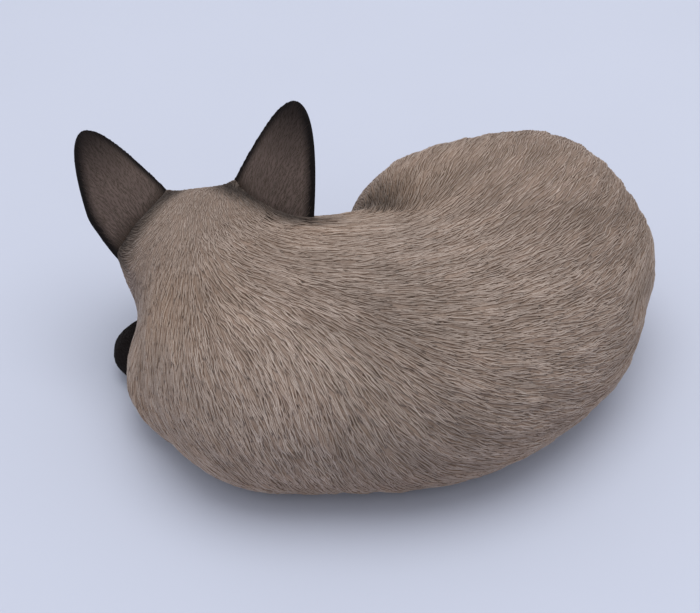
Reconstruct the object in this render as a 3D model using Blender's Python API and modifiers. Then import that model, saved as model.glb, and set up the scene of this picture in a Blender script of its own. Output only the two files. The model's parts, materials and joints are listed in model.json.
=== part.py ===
"""Curled cat garden statue: hollow cast resin body and head, bonded ears, paws and tail,
glass eyes, and a base plate with its plug and felt pads.

The cat lies with its back towards -Y and its head on the -X side, looking along +Y.
"""

from math import ceil, cos, pi, radians, sin

import bmesh
import bpy
import numpy as np
from mathutils import Matrix, Vector

# Sizes in metres that can each be set by themselves
LENGTH = 0.3505          # from the left ear's tip side to the haunch; the soft masses scale with it
WALL = 0.0065            # thickness of the cast shells
BOND_GAP = 0.0003        # adhesive gap between bonded castings
PAD_PROUD = 0.0015       # how far the felt pads lift the castings off the ground
PAD_RADIUS = 0.011
PAD_THICKNESS = 0.003
PLATE_THICKNESS = 0.005
RIM_WIDTH = 0.003        # casting's edge left round the base plate
PLUG_RADIUS = 0.009
PLUG_FLANGE = 0.003      # how far the plug's head overhangs its stem
PLUG_HEAD = 0.002
SLEEVE_RADIUS = 0.016    # tube that joins head and body inside the neck
SLEEVE_WALL = 0.003
SLEEVE_LENGTH = 0.040
PEG_RADIUS = 0.004       # pegs moulded on the paws and the tail
EAR_PEG_RADIUS = 0.0017
PEG_DEPTH = 0.0045       # how far a peg enters the casting that carries it
EYE_SIZE = (0.0112, 0.0074)      # half length and half height of an eye's almond outline
EYE_DOME = 0.0026
EYE_DEPTH = 0.0034
EYE_SUNK = 0.0012        # how far an eye's edge lies below the lids
EAR_HEIGHT = 0.063       # from the ear's widest line up to its tip
EAR_WIDTH = 0.057
EAR_THICKNESS = 0.0038
EAR_CUP = 0.0085         # how far the ear's edges curl forward of its middle
EAR_ROOT = 0.6           # share of the height that runs on down past the widest line
LOCK_HEIGHT = 0.0020     # the cast fur's main locks: from groove to crest
LOCK_SPACING = 0.0155    # from one to the next, across the lie of the fur
LOCK_LENGTH = 0.040
MM = LENGTH / 350.5      # a millimetre of the tables below, which are drawn at life size

# Soft masses of the torso, in millimetres: centre, half sizes, and turn about Z in degrees
TORSO = [
    ((26.7, -40.4, 51.1), (124.2, 95.8, 66.9), 1.4),       # trunk
    ((103.3, 2.6, 47.0), (75.8, 82.4, 58.2), 18.6),        # rump
    ((100.9, 50.3, 59.7), (94.1, 68.8, 59.8), -18.1),      # thigh
    ((121.2, 46.0, 89.9), (45.8, 52.2, 38.5), 8.8),        # hip
    ((-34.5, -54.3, 48.5), (66.6, 77.6, 57.2), -5.9),      # shoulders
    ((-61.4, -36.7, 26.8), (59.4, 48.3, 29.6), 1.4),       # chest
    ((-54.6, -27.9, 65.3), (46.8, 42.3, 44.0), 0.0),       # nape
]
# Head masses in the head's own frame: +X towards the right ear, +Y out of the nose
HEAD = [
    ((0, 0, 0), (48, 43, 38), 0),           # cranium
    ((22, 18, -14), (23, 26, 20), 0),       # right cheek
    ((-22, 18, -14), (23, 26, 20), 0),      # left cheek
    ((7, 53, -17), (10, 11, 9.5), 0),       # muzzle, right
    ((-7, 53, -17), (10, 11, 9.5), 0),      # muzzle, left
    ((0, 48, -25), (10, 11, 8), 0),         # chin
]
HEAD_CENTRE = (-76, 16, 77)
HEAD_TURN = (-16.8, -8.8, 0)                # pitch, roll and yaw in degrees
# Limbs are runs of (x, y, z, radius) in millimetres
SNOUT = [(0, 18, -2, 29), (0, 34, -6, 22), (0, 47, -10, 15), (0, 54, -12, 11.5)]
FORE_LEG = [(-80, -2, 24, 26), (-75, 16, 18, 23), (-69, 42, 15, 16)]
TUCKED_LEG = [(-84, -30, 28, 22), (-96, -10, 20, 15)]
HIND_LEG = [(70, 96, 24, 20), (48, 90, 16, 15)]
FOREPAW_LEFT = [(-100, -14, 17, 12.5), (-119, -9, 16, 13), (-124, 3, 15, 12.5), (-116, 17, 14, 12),
                (-103, 26, 13.5, 11.5)]
FOREPAW_RIGHT = [(-69, 40, 15, 14), (-70, 60, 14, 13), (-70, 76, 13.5, 13.5)]
HIND_PAW_RIGHT = [(52, 88, 15, 14), (20, 88, 14, 13), (-10, 86, 13.5, 12.5), (-32, 84, 13.5, 13.5)]
HIND_PAW_LEFT = [(30, 40, 15, 13), (14, 56, 14, 13), (-8, 57.5, 13.5, 12), (-30, 56, 13.5, 12.5)]
TAIL = [
    (140, 70, 24, 16), (148, 96, 19, 15), (126, 116, 15, 13.5), (92, 126, 13, 12.5),
    (52, 126, 12, 12), (14, 119, 12, 11.5), (-20, 111.5, 12, 11), (-56, 107, 12, 10.5),
    (-92, 99, 11, 10), (-114, 80, 10, 8.5),
]
# Middle of each ear's widest line in the head's frame, and how it leans back, splays and turns outwards
EAR_PLACE = {1: (39.2, -4.3, 27.6), -1: (-36.9, -2.2, 28.9)}
EAR_TURN = {1: (-14.0, 25.2, 22.4), -1: (-22.1, 29.8, 37.5)}
EYE_PLACE = (19.5, 20, 3)                   # point behind the right eye, in the head's frame
EYE_TURN = (-20, 6, -14)                    # turn outwards, tilt up, and slant of the almond
# How the coat lies: a point near the skin and the fur's direction there
FUR_LAY = [
    (-90, -92, 63, 0.2, -0.8, -0.6), (-97, -47, 85, -0.1, -0.8, -0.6), (-57, -104, 86, 0.5, -0.8, -0.4),
    (-50, -130, 50, 0.5, -0.2, -0.8), (-48, -55, 113, 0.8, -0.6, -0.1), (-55, -10, 116, 0.6, -0.8, 0.0),
    (-5, -135, 50, 0.4, 0.0, -0.9), (-8, -108, 97, 0.5, -0.7, -0.5), (0, -56, 116, 1.0, -0.1, 0.0),
    (-5, -10, 114, 1.0, -0.1, 0.1), (50, -132, 63, 0.8, 0.0, -0.6), (41, -105, 97, 0.9, -0.2, -0.3),
    (40, -50, 116, 0.9, 0.4, -0.1), (58, 4, 114, 0.8, 0.6, 0.1), (47, 46, 108, 0.3, 0.9, 0.1),
    (105, -94, 81, 0.9, 0.4, -0.3), (98, -36, 109, 0.8, 0.6, -0.1), (97, 9, 119, 0.8, 0.5, 0.3),
    (97, 46, 127, 0.3, 1.0, 0.1), (145, -70, 65, 0.7, 0.7, -0.3), (151, -2, 104, 0.6, 0.8, 0.1),
    (178, -10, 60, 0.2, 0.9, 0.4), (100, 110, 95, 0.0, 0.6, -0.8), (150, 95, 60, -0.1, 0.5, -0.8),
    (70, 110, 50, -0.6, 0.2, -0.7), (20, 75, 60, -0.5, 0.2, -0.8), (-45, 30, 40, 0.2, 0.3, -0.9),
    (-110, -25, 40, 0.1, -0.2, -0.9),
]
CURL_GAP = ((-38, 44, 30), (10, 85, 124))   # open space inside the curl, whose walls stay smooth
COLLAR = 14.0                               # farthest that the neck joint runs out from the skull
SLEEVE_MIDDLE = (-68, -4, 71)
SLEEVE_AXIS = (-8, 30, 10)                  # from the nape towards the head
PAD_PLACES = [(-77, 8), (-20, -76), (122, -14), (92, 30)]
PLUG_PLACE = (36, -36)

SOFTNESS = {"torso": 9.0, "head": 5.0, "neck": 10.0}       # how far masses flow into each other
TRIANGLES = {"form": 7200, "region": 500, "cavity": 700, "headCavity": 360, "plate": 1000,
             "paw": 300, "tail": 500}


def clearScene():
    for obj in list(bpy.data.objects):
        bpy.data.objects.remove(obj)


def collection(name):
    made = bpy.data.collections.new(name)
    bpy.context.scene.collection.children.link(made)
    return made


clearScene()
PARTS = collection("cat_garden_statue")
CUTTERS = collection("cutters")


def paint(name, colour, roughness):
    made = bpy.data.materials.new(name)
    made.use_nodes = True
    shader = made.node_tree.nodes["Principled BSDF"]
    shader.inputs["Base Color"].default_value = (*colour, 1)
    shader.inputs["Roughness"].default_value = roughness
    return made


def addObject(name, mesh, where=None, material=None):
    obj = bpy.data.objects.new(name, mesh)
    (where or CUTTERS).objects.link(obj)
    if where is not PARTS:
        obj.hide_render = True
        obj.display_type = "WIRE"
    if material:
        mesh.materials.clear()
        mesh.materials.append(material)
    return obj


def frozen(obj):
    """The object's mesh with its modifiers applied; the object itself is removed."""
    graph = bpy.context.evaluated_depsgraph_get()
    mesh = bpy.data.meshes.new_from_object(obj.evaluated_get(graph))
    mesh.transform(obj.matrix_world)
    bpy.data.objects.remove(obj)
    return mesh


def modifier(obj, kind, **settings):
    made = obj.modifiers.new(kind.lower(), kind)
    for key, value in settings.items():
        setattr(made, key, value)
    return made


def cut(obj, cutter, operation="DIFFERENCE"):
    modifier(obj, "BOOLEAN", object=cutter, operation=operation, solver="EXACT")


def meshFrom(name, bm):
    mesh = bpy.data.meshes.new(name)
    bm.to_mesh(mesh)
    bm.free()
    return mesh


def ballDistance(points, centre, halfSizes, turn=0.0):
    """Distance in millimetres from points to an ellipsoid turned about Z; negative inside."""
    angle = radians(turn)
    away = points - np.array(centre, float)
    local = np.stack([away[..., 0] * cos(angle) + away[..., 1] * sin(angle),
                      away[..., 1] * cos(angle) - away[..., 0] * sin(angle), away[..., 2]], -1)
    sizes = np.array(halfSizes, float)
    near = np.linalg.norm(local / sizes, axis=-1)
    return near * (near - 1) / (np.linalg.norm(local / sizes ** 2, axis=-1) + 1e-9)


def smoothRun(stations, spacing=0.6):
    """Points along a Catmull-Rom curve through the stations, spaced by that share of a radius."""
    points = [Vector(s) for s in stations]
    padded = [2 * points[0] - points[1], *points, 2 * points[-1] - points[-2]]
    run = []
    for a, b, c, d in zip(padded, padded[1:], padded[2:], padded[3:]):
        steps = max(2, ceil((c - b).length / (b.w * spacing)))
        for i in range(steps):
            t = i / steps
            run.append(0.5 * (2 * b + (c - a) * t + (2 * a - 5 * b + 4 * c - d) * t ** 2
                              + (3 * b - a - 3 * c + d) * t ** 3))
    return run + [points[-1]]


def limbDistance(points, stations):
    """Distance to a rounded limb whose radius changes evenly between its points."""
    nearest = None
    run = smoothRun(stations)
    for start, end in zip(run, run[1:]):
        a = np.array(start[:3])
        along = np.array(end[:3]) - a
        share = np.clip((points - a) @ along / (along @ along), 0, 1)
        reach = np.linalg.norm(points - a - share[..., None] * along, axis=-1)
        reach -= start[3] + share * (end[3] - start[3])
        nearest = reach if nearest is None else np.minimum(nearest, reach)
    return nearest


def blended(distances, softness):
    stack = np.stack(distances)
    least = stack.min(axis=0)
    return least - softness * np.log(np.exp((least - stack) / softness).sum(axis=0))


def torsoDistance(points):
    parts = [ballDistance(points, *mass) for mass in TORSO]
    parts += [limbDistance(points, leg) for leg in (FORE_LEG, TUCKED_LEG, HIND_LEG)]
    return blended(parts, SOFTNESS["torso"])


def headPlace():
    pitch, roll, yaw = (radians(a) for a in HEAD_TURN)
    return (Matrix.Translation(Vector(HEAD_CENTRE)) @ Matrix.Rotation(yaw, 4, "Z")
            @ Matrix.Rotation(roll, 4, "Y") @ Matrix.Rotation(pitch, 4, "X"))


def headDistance(points):
    inverse = np.array(headPlace().inverted())
    local = points @ inverse[:3, :3].T + inverse[:3, 3]
    parts = [ballDistance(local, *mass) for mass in HEAD]
    parts.append(limbDistance(local, SNOUT))
    return blended(parts, SOFTNESS["head"])


def wholeDistance(points):
    """Torso and head as one flowing skin."""
    return blended([torsoDistance(points), headDistance(points)], SOFTNESS["neck"])


def neckDistance(points):
    """Distance to the joint between head and body; negative on the head's side."""
    head = headDistance(points)
    return np.maximum((head - torsoDistance(points)) / 2, head - COLLAR)


def toMetres(matrix):
    """The same placing for shapes built in metres."""
    made = matrix.copy()
    made.translation = made.translation * MM
    return made


def slopeOf(distance, points):
    here = distance(points)
    slope = np.stack([distance(points + nudge) - here for nudge in np.eye(3) * 0.05], -1)
    return slope / np.maximum(np.linalg.norm(slope, axis=-1, keepdims=True), 1e-9)


def furLay(points, normals):
    """Direction of the fur along the skin, from the strokes nearest each point."""
    lay = np.array(FUR_LAY, float)
    near = 1 / (((points[:, None] - lay[None, :, :3]) ** 2).sum(-1) + 300.0) ** 1.5
    way = near @ lay[:, 3:]
    way -= normals * (way * normals).sum(-1, keepdims=True)
    return way / np.maximum(np.linalg.norm(way, axis=-1, keepdims=True), 1e-9)


def lockRoots(points, normals):
    """Places and directions of the main locks: as close as their spacing lets them lie."""
    spacing, length = LOCK_SPACING / MM, LOCK_LENGTH / MM
    lay = furLay(points, normals)
    order = np.argsort(np.sin(np.arange(len(points)) * 12.9898) * 43758.5453 % 1.0)
    kept = np.zeros((0, 3))
    chosen = []
    for index in order:
        away = kept - points[index]
        along = away @ lay[index]
        across = np.linalg.norm(away - along[:, None] * lay[index], axis=1)
        if not (np.hypot(along / (length * 0.62), across / (spacing * 0.95)) < 1).any():
            kept = np.vstack([kept, points[index]])
            chosen.append(index)
    return points[chosen], normals[chosen], lay[chosen]


def lockRelief(points, roots):
    """Height in millimetres of the overlapping main locks at each point of the skin."""
    width, length = LOCK_SPACING / MM * 1.15, LOCK_LENGTH / MM
    height = np.zeros(len(points))
    for place, normal, lay in zip(*roots):
        away = points - place
        close = np.flatnonzero((away ** 2).sum(-1) < length ** 2 * 1.1)
        away = away[close]
        along = away @ lay / length
        across = away @ np.cross(normal, lay) / (width / 2) + 0.35 * np.sin(along * pi)
        taper = np.clip(along * 5, 0, 1) * np.clip((1 - along) * 2.2, 0, 1) ** 0.6
        rise = np.clip(0.3 + 0.9 * along, 0, 1) * np.clip(1 - np.abs(across) / np.maximum(taper, 0.05), 0, 1) ** 0.8
        rise = np.where((along > 0) & (along < 1), rise, 0)
        height[close] = np.maximum(height[close], rise)
    low, high = np.array(CURL_GAP[0]), np.array(CURL_GAP[1])
    outside = np.linalg.norm(np.maximum(np.maximum(low - points, points - high), 0), axis=-1)
    limbs = [FOREPAW_LEFT, FOREPAW_RIGHT, HIND_PAW_RIGHT, HIND_PAW_LEFT, TAIL]
    nearLimb = np.min([limbDistance(points, limb) for limb in limbs], axis=0)
    fade = np.clip(outside / 10, 0, 1) * np.clip((neckDistance(points) - 3) / 8, 0, 1)
    fade *= np.clip((nearLimb - 3) / 8, 0, 1)            # bonded pieces lie on smooth skin
    return (height - 0.35) * fade * LOCK_HEIGHT / MM


def skin(name, distance, low, high, step, level=0.0, triangles=None, furred=False):
    """Closed mesh where the distance equals level, netted over a grid from low to high."""
    axes = [np.arange(a, b + step, step) for a, b in zip(low, high)]
    value = distance(np.stack(np.meshgrid(*axes, indexing="ij"), -1)) - level
    cells = tuple(n - 1 for n in value.shape)
    total = np.zeros((*cells, 3))
    count = np.zeros(cells)
    edges = []
    for axis in range(3):
        a = np.take(value, range(value.shape[axis] - 1), axis)
        b = np.take(value, range(1, value.shape[axis]), axis)
        crossing = (a < 0) != (b < 0)
        share = np.where(crossing, a / np.where(crossing, a - b, 1), 0)
        spot = np.stack(np.indices(a.shape), -1).astype(float)
        spot[..., axis] += share
        spot *= crossing[..., None]
        others = [i for i in range(3) if i != axis]
        for first in (0, 1):
            for second in (0, 1):
                window = [slice(None)] * 3
                window[others[0]] = slice(first, first + cells[others[0]])
                window[others[1]] = slice(second, second + cells[others[1]])
                total += spot[tuple(window)]
                count += crossing[tuple(window)]
        edges.append((axis, others, np.argwhere(crossing), (a < 0)[crossing]))
    used = count > 0
    number = np.full(cells, -1)
    number[used] = np.arange(used.sum())
    corners = np.array(low, float) + step * total[used] / count[used][:, None]
    for _ in range(3):
        miss = distance(corners) - level
        slope = np.stack([distance(corners + nudge) - level - miss for nudge in np.eye(3) * 0.05], -1) / 0.05
        reach = np.clip(miss / np.maximum((slope ** 2).sum(-1), 0.2), -step / 3, step / 3)
        corners = corners - slope * reach[:, None]
    faces = []
    for axis, others, where, outward in edges:
        ring = []
        for first, second in ((1, 1), (0, 1), (0, 0), (1, 0)):
            cell = where.copy()
            cell[:, others[0]] -= first
            cell[:, others[1]] -= second
            ring.append(number[tuple(cell.T)])
        ring = np.stack(ring, -1)
        flip = outward if axis != 1 else ~outward
        faces += np.where(flip[:, None], ring, ring[:, ::-1]).tolist()
    if furred:
        normals = slopeOf(distance, corners)
        corners = corners + normals * lockRelief(corners, lockRoots(corners, normals))[:, None]
    mesh = bpy.data.meshes.new(name)
    mesh.from_pydata((corners * MM).tolist(), [], faces)
    if triangles is None:
        return mesh
    obj = addObject(name, mesh)
    modifier(obj, "DECIMATE", ratio=min(1.0, triangles / (2 * len(faces))))
    return frozen(obj)


def limbSkin(name, stations, triangles):
    low = [min(s[i] - s[3] for s in stations) - 6 for i in range(3)]
    high = [max(s[i] + s[3] for s in stations) + 6 for i in range(3)]
    return skin(name, lambda points: limbDistance(points, stations), low, high, 3.0, triangles=triangles)


def box(name, low, high):
    bm = bmesh.new()
    size = Vector(high) - Vector(low)
    middle = (Vector(high) + Vector(low)) / 2
    bmesh.ops.create_cube(bm, size=1, matrix=Matrix.Translation(middle) @ Matrix.Diagonal((*size, 1)))
    return addObject(name, meshFrom(name, bm))


def rod(name, start, direction, radius, length, segments=32, where=None, material=None):
    """A cylinder from start along direction."""
    bm = bmesh.new()
    axis = Vector(direction).normalized()
    turn = axis.to_track_quat("Z", "Y").to_matrix().to_4x4()
    matrix = Matrix.Translation(Vector(start) + axis * length / 2) @ turn
    bmesh.ops.create_cone(bm, cap_ends=True, segments=segments, radius1=radius, radius2=radius,
                          depth=length, matrix=matrix)
    return addObject(name, meshFrom(name, bm), where, material)


def grown(name, mesh, distance):
    """A cutter: the mesh pushed out along its normals."""
    obj = addObject(name, mesh.copy())
    modifier(obj, "DISPLACE", strength=distance, mid_level=0.0)
    return addObject(name, frozen(obj))


def entry(stations, distance):
    """Where a limb leaves the skin, and the direction back into it."""
    run = smoothRun(stations, 0.1)
    for before, after in zip(run, run[1:]):
        if distance(np.array([after[:3]]))[0] > 0:
            return Vector(before[:3]) * MM, (Vector(before[:3]) - Vector(after[:3])).normalized()


# Outer skin before any cutting, and the region of it that is cast as the head
formLow, formHigh = (-146, -160, -32), (212, 150, 146)
headLow, headHigh = (-150, -60, 0), (0, 122, 146)
form = skin("form", wholeDistance, formLow, formHigh, 3.6, triangles=TRIANGLES["form"], furred=True)
aroundForm = grown("around_form", form, BOND_GAP)
regionMesh = skin("head_region", neckDistance, headLow, headHigh, 6.0, triangles=TRIANGLES["region"])
headRegion = addObject("head_region", regionMesh)
ground = box("ground", (-0.4, -0.4, -0.2), (0.4, 0.4, PAD_PROUD))

# Body shell: outer form, cavity, and the recess for the base plate
body = addObject("body_shell", form.copy(), PARTS, paint("body_coat", (0.235, 0.195, 0.165), 0.75))
cavity = skin("cavity", lambda p: np.maximum(wholeDistance(p), -neckDistance(p)), formLow, formHigh, 6.0,
              level=-WALL / MM, triangles=TRIANGLES["cavity"])
cut(body, grown("neck_joint", regionMesh, BOND_GAP))
cut(body, ground)
cut(body, addObject("cavity", cavity))
plateForm = skin("plate_form", wholeDistance, formLow, formHigh, 6.0,
                 level=-RIM_WIDTH / MM, triangles=TRIANGLES["plate"])
plateTop = PAD_PROUD + PLATE_THICKNESS
recess = grown("recess", plateForm, BOND_GAP)
cut(recess, box("recess_slab", (-0.3, -0.3, -0.02), (0.3, 0.3, plateTop + BOND_GAP)), "INTERSECT")
cut(body, recess)

# Head shell with its own cavity
head = addObject("head_shell", form.copy(), PARTS, paint("head_coat", (0.235, 0.195, 0.165), 0.75))
cut(head, headRegion, "INTERSECT")
headCavity = skin("head_cavity", lambda p: np.maximum(wholeDistance(p), neckDistance(p)), headLow, headHigh,
                  6.0, level=-WALL / MM, triangles=TRIANGLES["headCavity"])
cut(head, addObject("head_cavity", headCavity))

# Neck sleeve in a bore through both walls
sleeveAxis = Vector(SLEEVE_AXIS).normalized()
sleeveStart = Vector(SLEEVE_MIDDLE) * MM - sleeveAxis * SLEEVE_LENGTH / 2
sleeve = rod("neck_sleeve", sleeveStart, sleeveAxis, SLEEVE_RADIUS, SLEEVE_LENGTH, 32, PARTS,
             paint("sleeve_resin", (0.62, 0.60, 0.55), 0.5))
cut(sleeve, rod("sleeve_bore", sleeveStart - sleeveAxis * 0.01, sleeveAxis, SLEEVE_RADIUS - SLEEVE_WALL,
                SLEEVE_LENGTH + 0.02, 32))
neckBore = rod("neck_bore", sleeveStart, sleeveAxis, SLEEVE_RADIUS + BOND_GAP, SLEEVE_LENGTH, 32)
cut(body, neckBore)
cut(head, neckBore)

# Paws and tail, trimmed to the body and pegged into it
seal = (0.028, 0.020, 0.018)
for name, stations, triangles in (("forepaw_left", FOREPAW_LEFT, TRIANGLES["paw"]),
                                  ("forepaw_right", FOREPAW_RIGHT, TRIANGLES["paw"]),
                                  ("hind_paw_right", HIND_PAW_RIGHT, TRIANGLES["paw"]),
                                  ("hind_paw_left", HIND_PAW_LEFT, TRIANGLES["paw"]),
                                  ("tail", TAIL, TRIANGLES["tail"])):
    limb = addObject(name, limbSkin(name, stations, triangles), PARTS, paint(name + "_seal", seal, 0.6))
    cut(limb, ground)
    cut(limb, aroundForm)
    place, inward = entry(stations, wholeDistance)
    outside = place - inward * 0.004
    cut(limb, rod(name + "_peg", outside, inward, PEG_RADIUS, 0.004 + PEG_DEPTH, 20), "UNION")
    cut(body, rod(name + "_socket", outside, inward, PEG_RADIUS + BOND_GAP,
                  0.004 + PEG_DEPTH + BOND_GAP, 20))


def earHalf(down):
    """Half width of an ear at a share of its height below the tip."""
    if down <= 1:
        return EAR_WIDTH / 2 * down ** 0.5
    return EAR_WIDTH / 2 * (1 - 0.35 * ((down - 1) / EAR_ROOT) ** 2)


def earMesh(name, side):
    """A cupped leaf: rows from tip to root, columns from edge to edge, then thickened."""
    columns, rows = 10, 12
    bm = bmesh.new()
    grid = []
    for row in range(rows + 1):
        down = 0.006 + (1 + EAR_ROOT - 0.006) * (row / rows) ** 1.35
        half = earHalf(down)
        line = []
        for column in range(columns + 1):
            across = 2 * column / columns - 1
            forward = EAR_CUP * across ** 2 * half / (EAR_WIDTH / 2)
            line.append(bm.verts.new((side * across * half, forward, (1 - down) * EAR_HEIGHT)))
        grid.append(line)
    for high, low in zip(grid, grid[1:]):
        for column in range(columns):
            corners = (low[column], low[column + 1], high[column + 1], high[column])
            bm.faces.new(corners if side > 0 else corners[::-1])
    obj = addObject(name, meshFrom(name, bm))
    modifier(obj, "SOLIDIFY", thickness=EAR_THICKNESS, offset=0.0, use_even_offset=False)
    return frozen(obj)


def earPlace(side):
    lean, splay, turn = (radians(a) for a in EAR_TURN[side])
    place = (Matrix.Translation(Vector(EAR_PLACE[side])) @ Matrix.Rotation(side * splay, 4, "Y")
             @ Matrix.Rotation(lean, 4, "X") @ Matrix.Rotation(-side * turn, 4, "Z"))
    return toMetres(headPlace() @ place)


def eyeMesh(name, grow=0.0, front=0.0):
    """An almond dome with a flat back; front lifts it straight out as a socket cutter."""
    bm = bmesh.new()
    around = 22
    half, high = EYE_SIZE[0] + grow, EYE_SIZE[1] + grow
    outline = []
    for i in range(around):
        angle = 2 * pi * i / around
        x = half * cos(angle)
        z = high * max(0.0, 1 - cos(angle) ** 2) ** 0.72 * (1 if sin(angle) >= 0 else -1)
        outline.append((x, z))
    rings = []
    for share, depth in ((1.0, -EYE_DEPTH - grow), (1.0, front), (0.8, front + EYE_DOME * 0.36),
                         (0.55, front + EYE_DOME * 0.70), (0.28, front + EYE_DOME * 0.92)):
        rings.append([bm.verts.new((x * share, depth, z * share)) for x, z in outline])
    tip = bm.verts.new((0, front + EYE_DOME, 0))
    for inner, outer in zip(rings[1:], rings):
        for i in range(around):
            j = (i + 1) % around
            bm.faces.new((outer[i], inner[i], inner[j], outer[j]))
    for i in range(around):
        bm.faces.new((rings[-1][i], tip, rings[-1][(i + 1) % around]))
    bm.faces.new(rings[0])
    bmesh.ops.recalc_face_normals(bm, faces=bm.faces)
    return meshFrom(name, bm)


def eyePlace(side):
    """On the skin of the head, in the eye's line of sight."""
    turn, tilt, slant = (radians(a) for a in EYE_TURN)
    x, y, z = EYE_PLACE
    place = (Matrix.Translation(Vector((side * x, y, z))) @ Matrix.Rotation(side * turn, 4, "Z")
             @ Matrix.Rotation(tilt, 4, "X") @ Matrix.Rotation(side * slant, 4, "Y"))
    place = headPlace() @ place
    sight = (place.to_3x3() @ Vector((0, 1, 0))).normalized()
    reach = 0.0
    while wholeDistance(np.array([place.translation + sight * reach]))[0] < 0:
        reach += 0.1
    place.translation += sight * (reach - EYE_SUNK / MM)
    return toMetres(place)


for label, side in (("right", 1), ("left", -1)):
    place = earPlace(side)
    mesh = earMesh("ear_" + label, side)
    mesh.transform(place)
    ear = addObject("ear_" + label, mesh, PARTS, paint("ear_seal_" + label, (0.06, 0.045, 0.042), 0.65))
    cut(ear, aroundForm)
    down = -(place.to_3x3() @ Vector((0, 0, 1))).normalized()
    spot = place.translation.copy()
    while wholeDistance(np.array([spot / MM]))[0] > 0:
        spot += down * 0.0002
    while wholeDistance(np.array([spot / MM]))[0] < 0:
        spot -= down * 0.0002
    outside = spot - down * 0.003
    cut(ear, rod(ear.name + "_peg", outside, down, EAR_PEG_RADIUS, 0.003 + PEG_DEPTH, 16), "UNION")
    cut(head, rod(ear.name + "_socket", outside, down, EAR_PEG_RADIUS + BOND_GAP,
                  0.003 + PEG_DEPTH + BOND_GAP, 16))
    place = eyePlace(side)
    mesh = eyeMesh("eye_" + label)
    mesh.transform(place)
    addObject("eye_" + label, mesh, PARTS, paint("eye_glass_" + label, (0.10, 0.30, 0.62), 0.08))
    mesh = eyeMesh("eye_socket_" + label, BOND_GAP, 0.008)
    mesh.transform(place)
    cut(head, addObject("eye_socket_" + label, mesh))

# Base plate with its vent plug and felt pads
plate = addObject("base_plate", plateForm.copy(), PARTS, paint("plate_resin", (0.10, 0.085, 0.075), 0.8))
cut(plate, box("plate_slab", (-0.3, -0.3, PAD_PROUD), (0.3, 0.3, plateTop)), "INTERSECT")
plugX, plugY = (v * MM for v in PLUG_PLACE)
plug = rod("vent_plug", (plugX, plugY, PAD_PROUD), (0, 0, 1), PLUG_RADIUS + PLUG_FLANGE, PLUG_HEAD, 28,
           PARTS, paint("plug_rubber", (0.03, 0.03, 0.03), 0.85))
stemLength = PLATE_THICKNESS + 0.002
cut(plug, rod("plug_stem", (plugX, plugY, PAD_PROUD + PLUG_HEAD / 2), (0, 0, 1), PLUG_RADIUS,
              stemLength, 28), "UNION")
cut(plate, rod("plug_seat", (plugX, plugY, 0), (0, 0, 1), PLUG_RADIUS + PLUG_FLANGE + BOND_GAP,
               PAD_PROUD + PLUG_HEAD + BOND_GAP, 28))
cut(plate, rod("plug_hole", (plugX, plugY, 0), (0, 0, 1), PLUG_RADIUS + BOND_GAP, 0.02, 28))
for index, (x, y) in enumerate(PAD_PLACES):
    name = "felt_pad_{}".format(index + 1)
    rod(name, (x * MM, y * MM, 0), (0, 0, 1), PAD_RADIUS, PAD_THICKNESS, 24, PARTS,
        paint("felt_{}".format(index + 1), (0.05, 0.045, 0.04), 0.95))
    cut(plate, rod(name + "_seat", (x * MM, y * MM, -0.001), (0, 0, 1), PAD_RADIUS + BOND_GAP,
                   PAD_THICKNESS + BOND_GAP + 0.001, 24))

smooth = {"body_shell", "head_shell", "tail", "ear_left", "ear_right", "eye_left", "eye_right",
          "forepaw_left", "forepaw_right", "hind_paw_left", "hind_paw_right", "neck_sleeve"}
for obj in PARTS.objects:
    if obj.name in smooth:
        obj.data.shade_smooth()
for obj in (*PARTS.objects, *CUTTERS.objects):
    obj.location += Vector((-18.91, -0.945, 0)) * MM       # brings the middle of the footprint to the origin
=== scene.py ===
import json
from contextlib import contextmanager
from math import ceil, cos, pi, radians, sin

import bmesh
import bpy
import numpy as np
from mathutils import Matrix, Vector

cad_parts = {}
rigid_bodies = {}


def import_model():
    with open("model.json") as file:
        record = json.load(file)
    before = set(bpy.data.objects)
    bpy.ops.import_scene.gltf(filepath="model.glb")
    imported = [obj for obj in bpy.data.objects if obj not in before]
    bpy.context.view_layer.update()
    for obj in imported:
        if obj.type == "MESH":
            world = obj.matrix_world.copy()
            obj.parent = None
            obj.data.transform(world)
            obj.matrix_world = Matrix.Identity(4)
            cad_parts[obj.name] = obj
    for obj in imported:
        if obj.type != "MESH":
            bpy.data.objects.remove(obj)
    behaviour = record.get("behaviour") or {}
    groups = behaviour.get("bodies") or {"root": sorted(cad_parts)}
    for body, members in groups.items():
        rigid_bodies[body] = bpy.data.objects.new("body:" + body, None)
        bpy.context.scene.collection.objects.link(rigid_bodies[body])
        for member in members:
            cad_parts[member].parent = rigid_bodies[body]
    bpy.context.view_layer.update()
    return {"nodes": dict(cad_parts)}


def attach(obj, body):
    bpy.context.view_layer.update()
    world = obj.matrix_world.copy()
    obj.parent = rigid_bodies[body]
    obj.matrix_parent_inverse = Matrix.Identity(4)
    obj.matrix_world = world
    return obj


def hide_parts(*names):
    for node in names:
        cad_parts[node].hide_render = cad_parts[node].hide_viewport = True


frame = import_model()
print("frame loaded:", len(frame["nodes"]), "nodes")

# The soft masses are drawn in millimetres at life size, like the casting's own drawing;
# the shift brings the drawing's origin to the middle of the footprint
mm = 0.001
drawingShift = np.array([-18.91, -0.945, 0.0])

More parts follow.
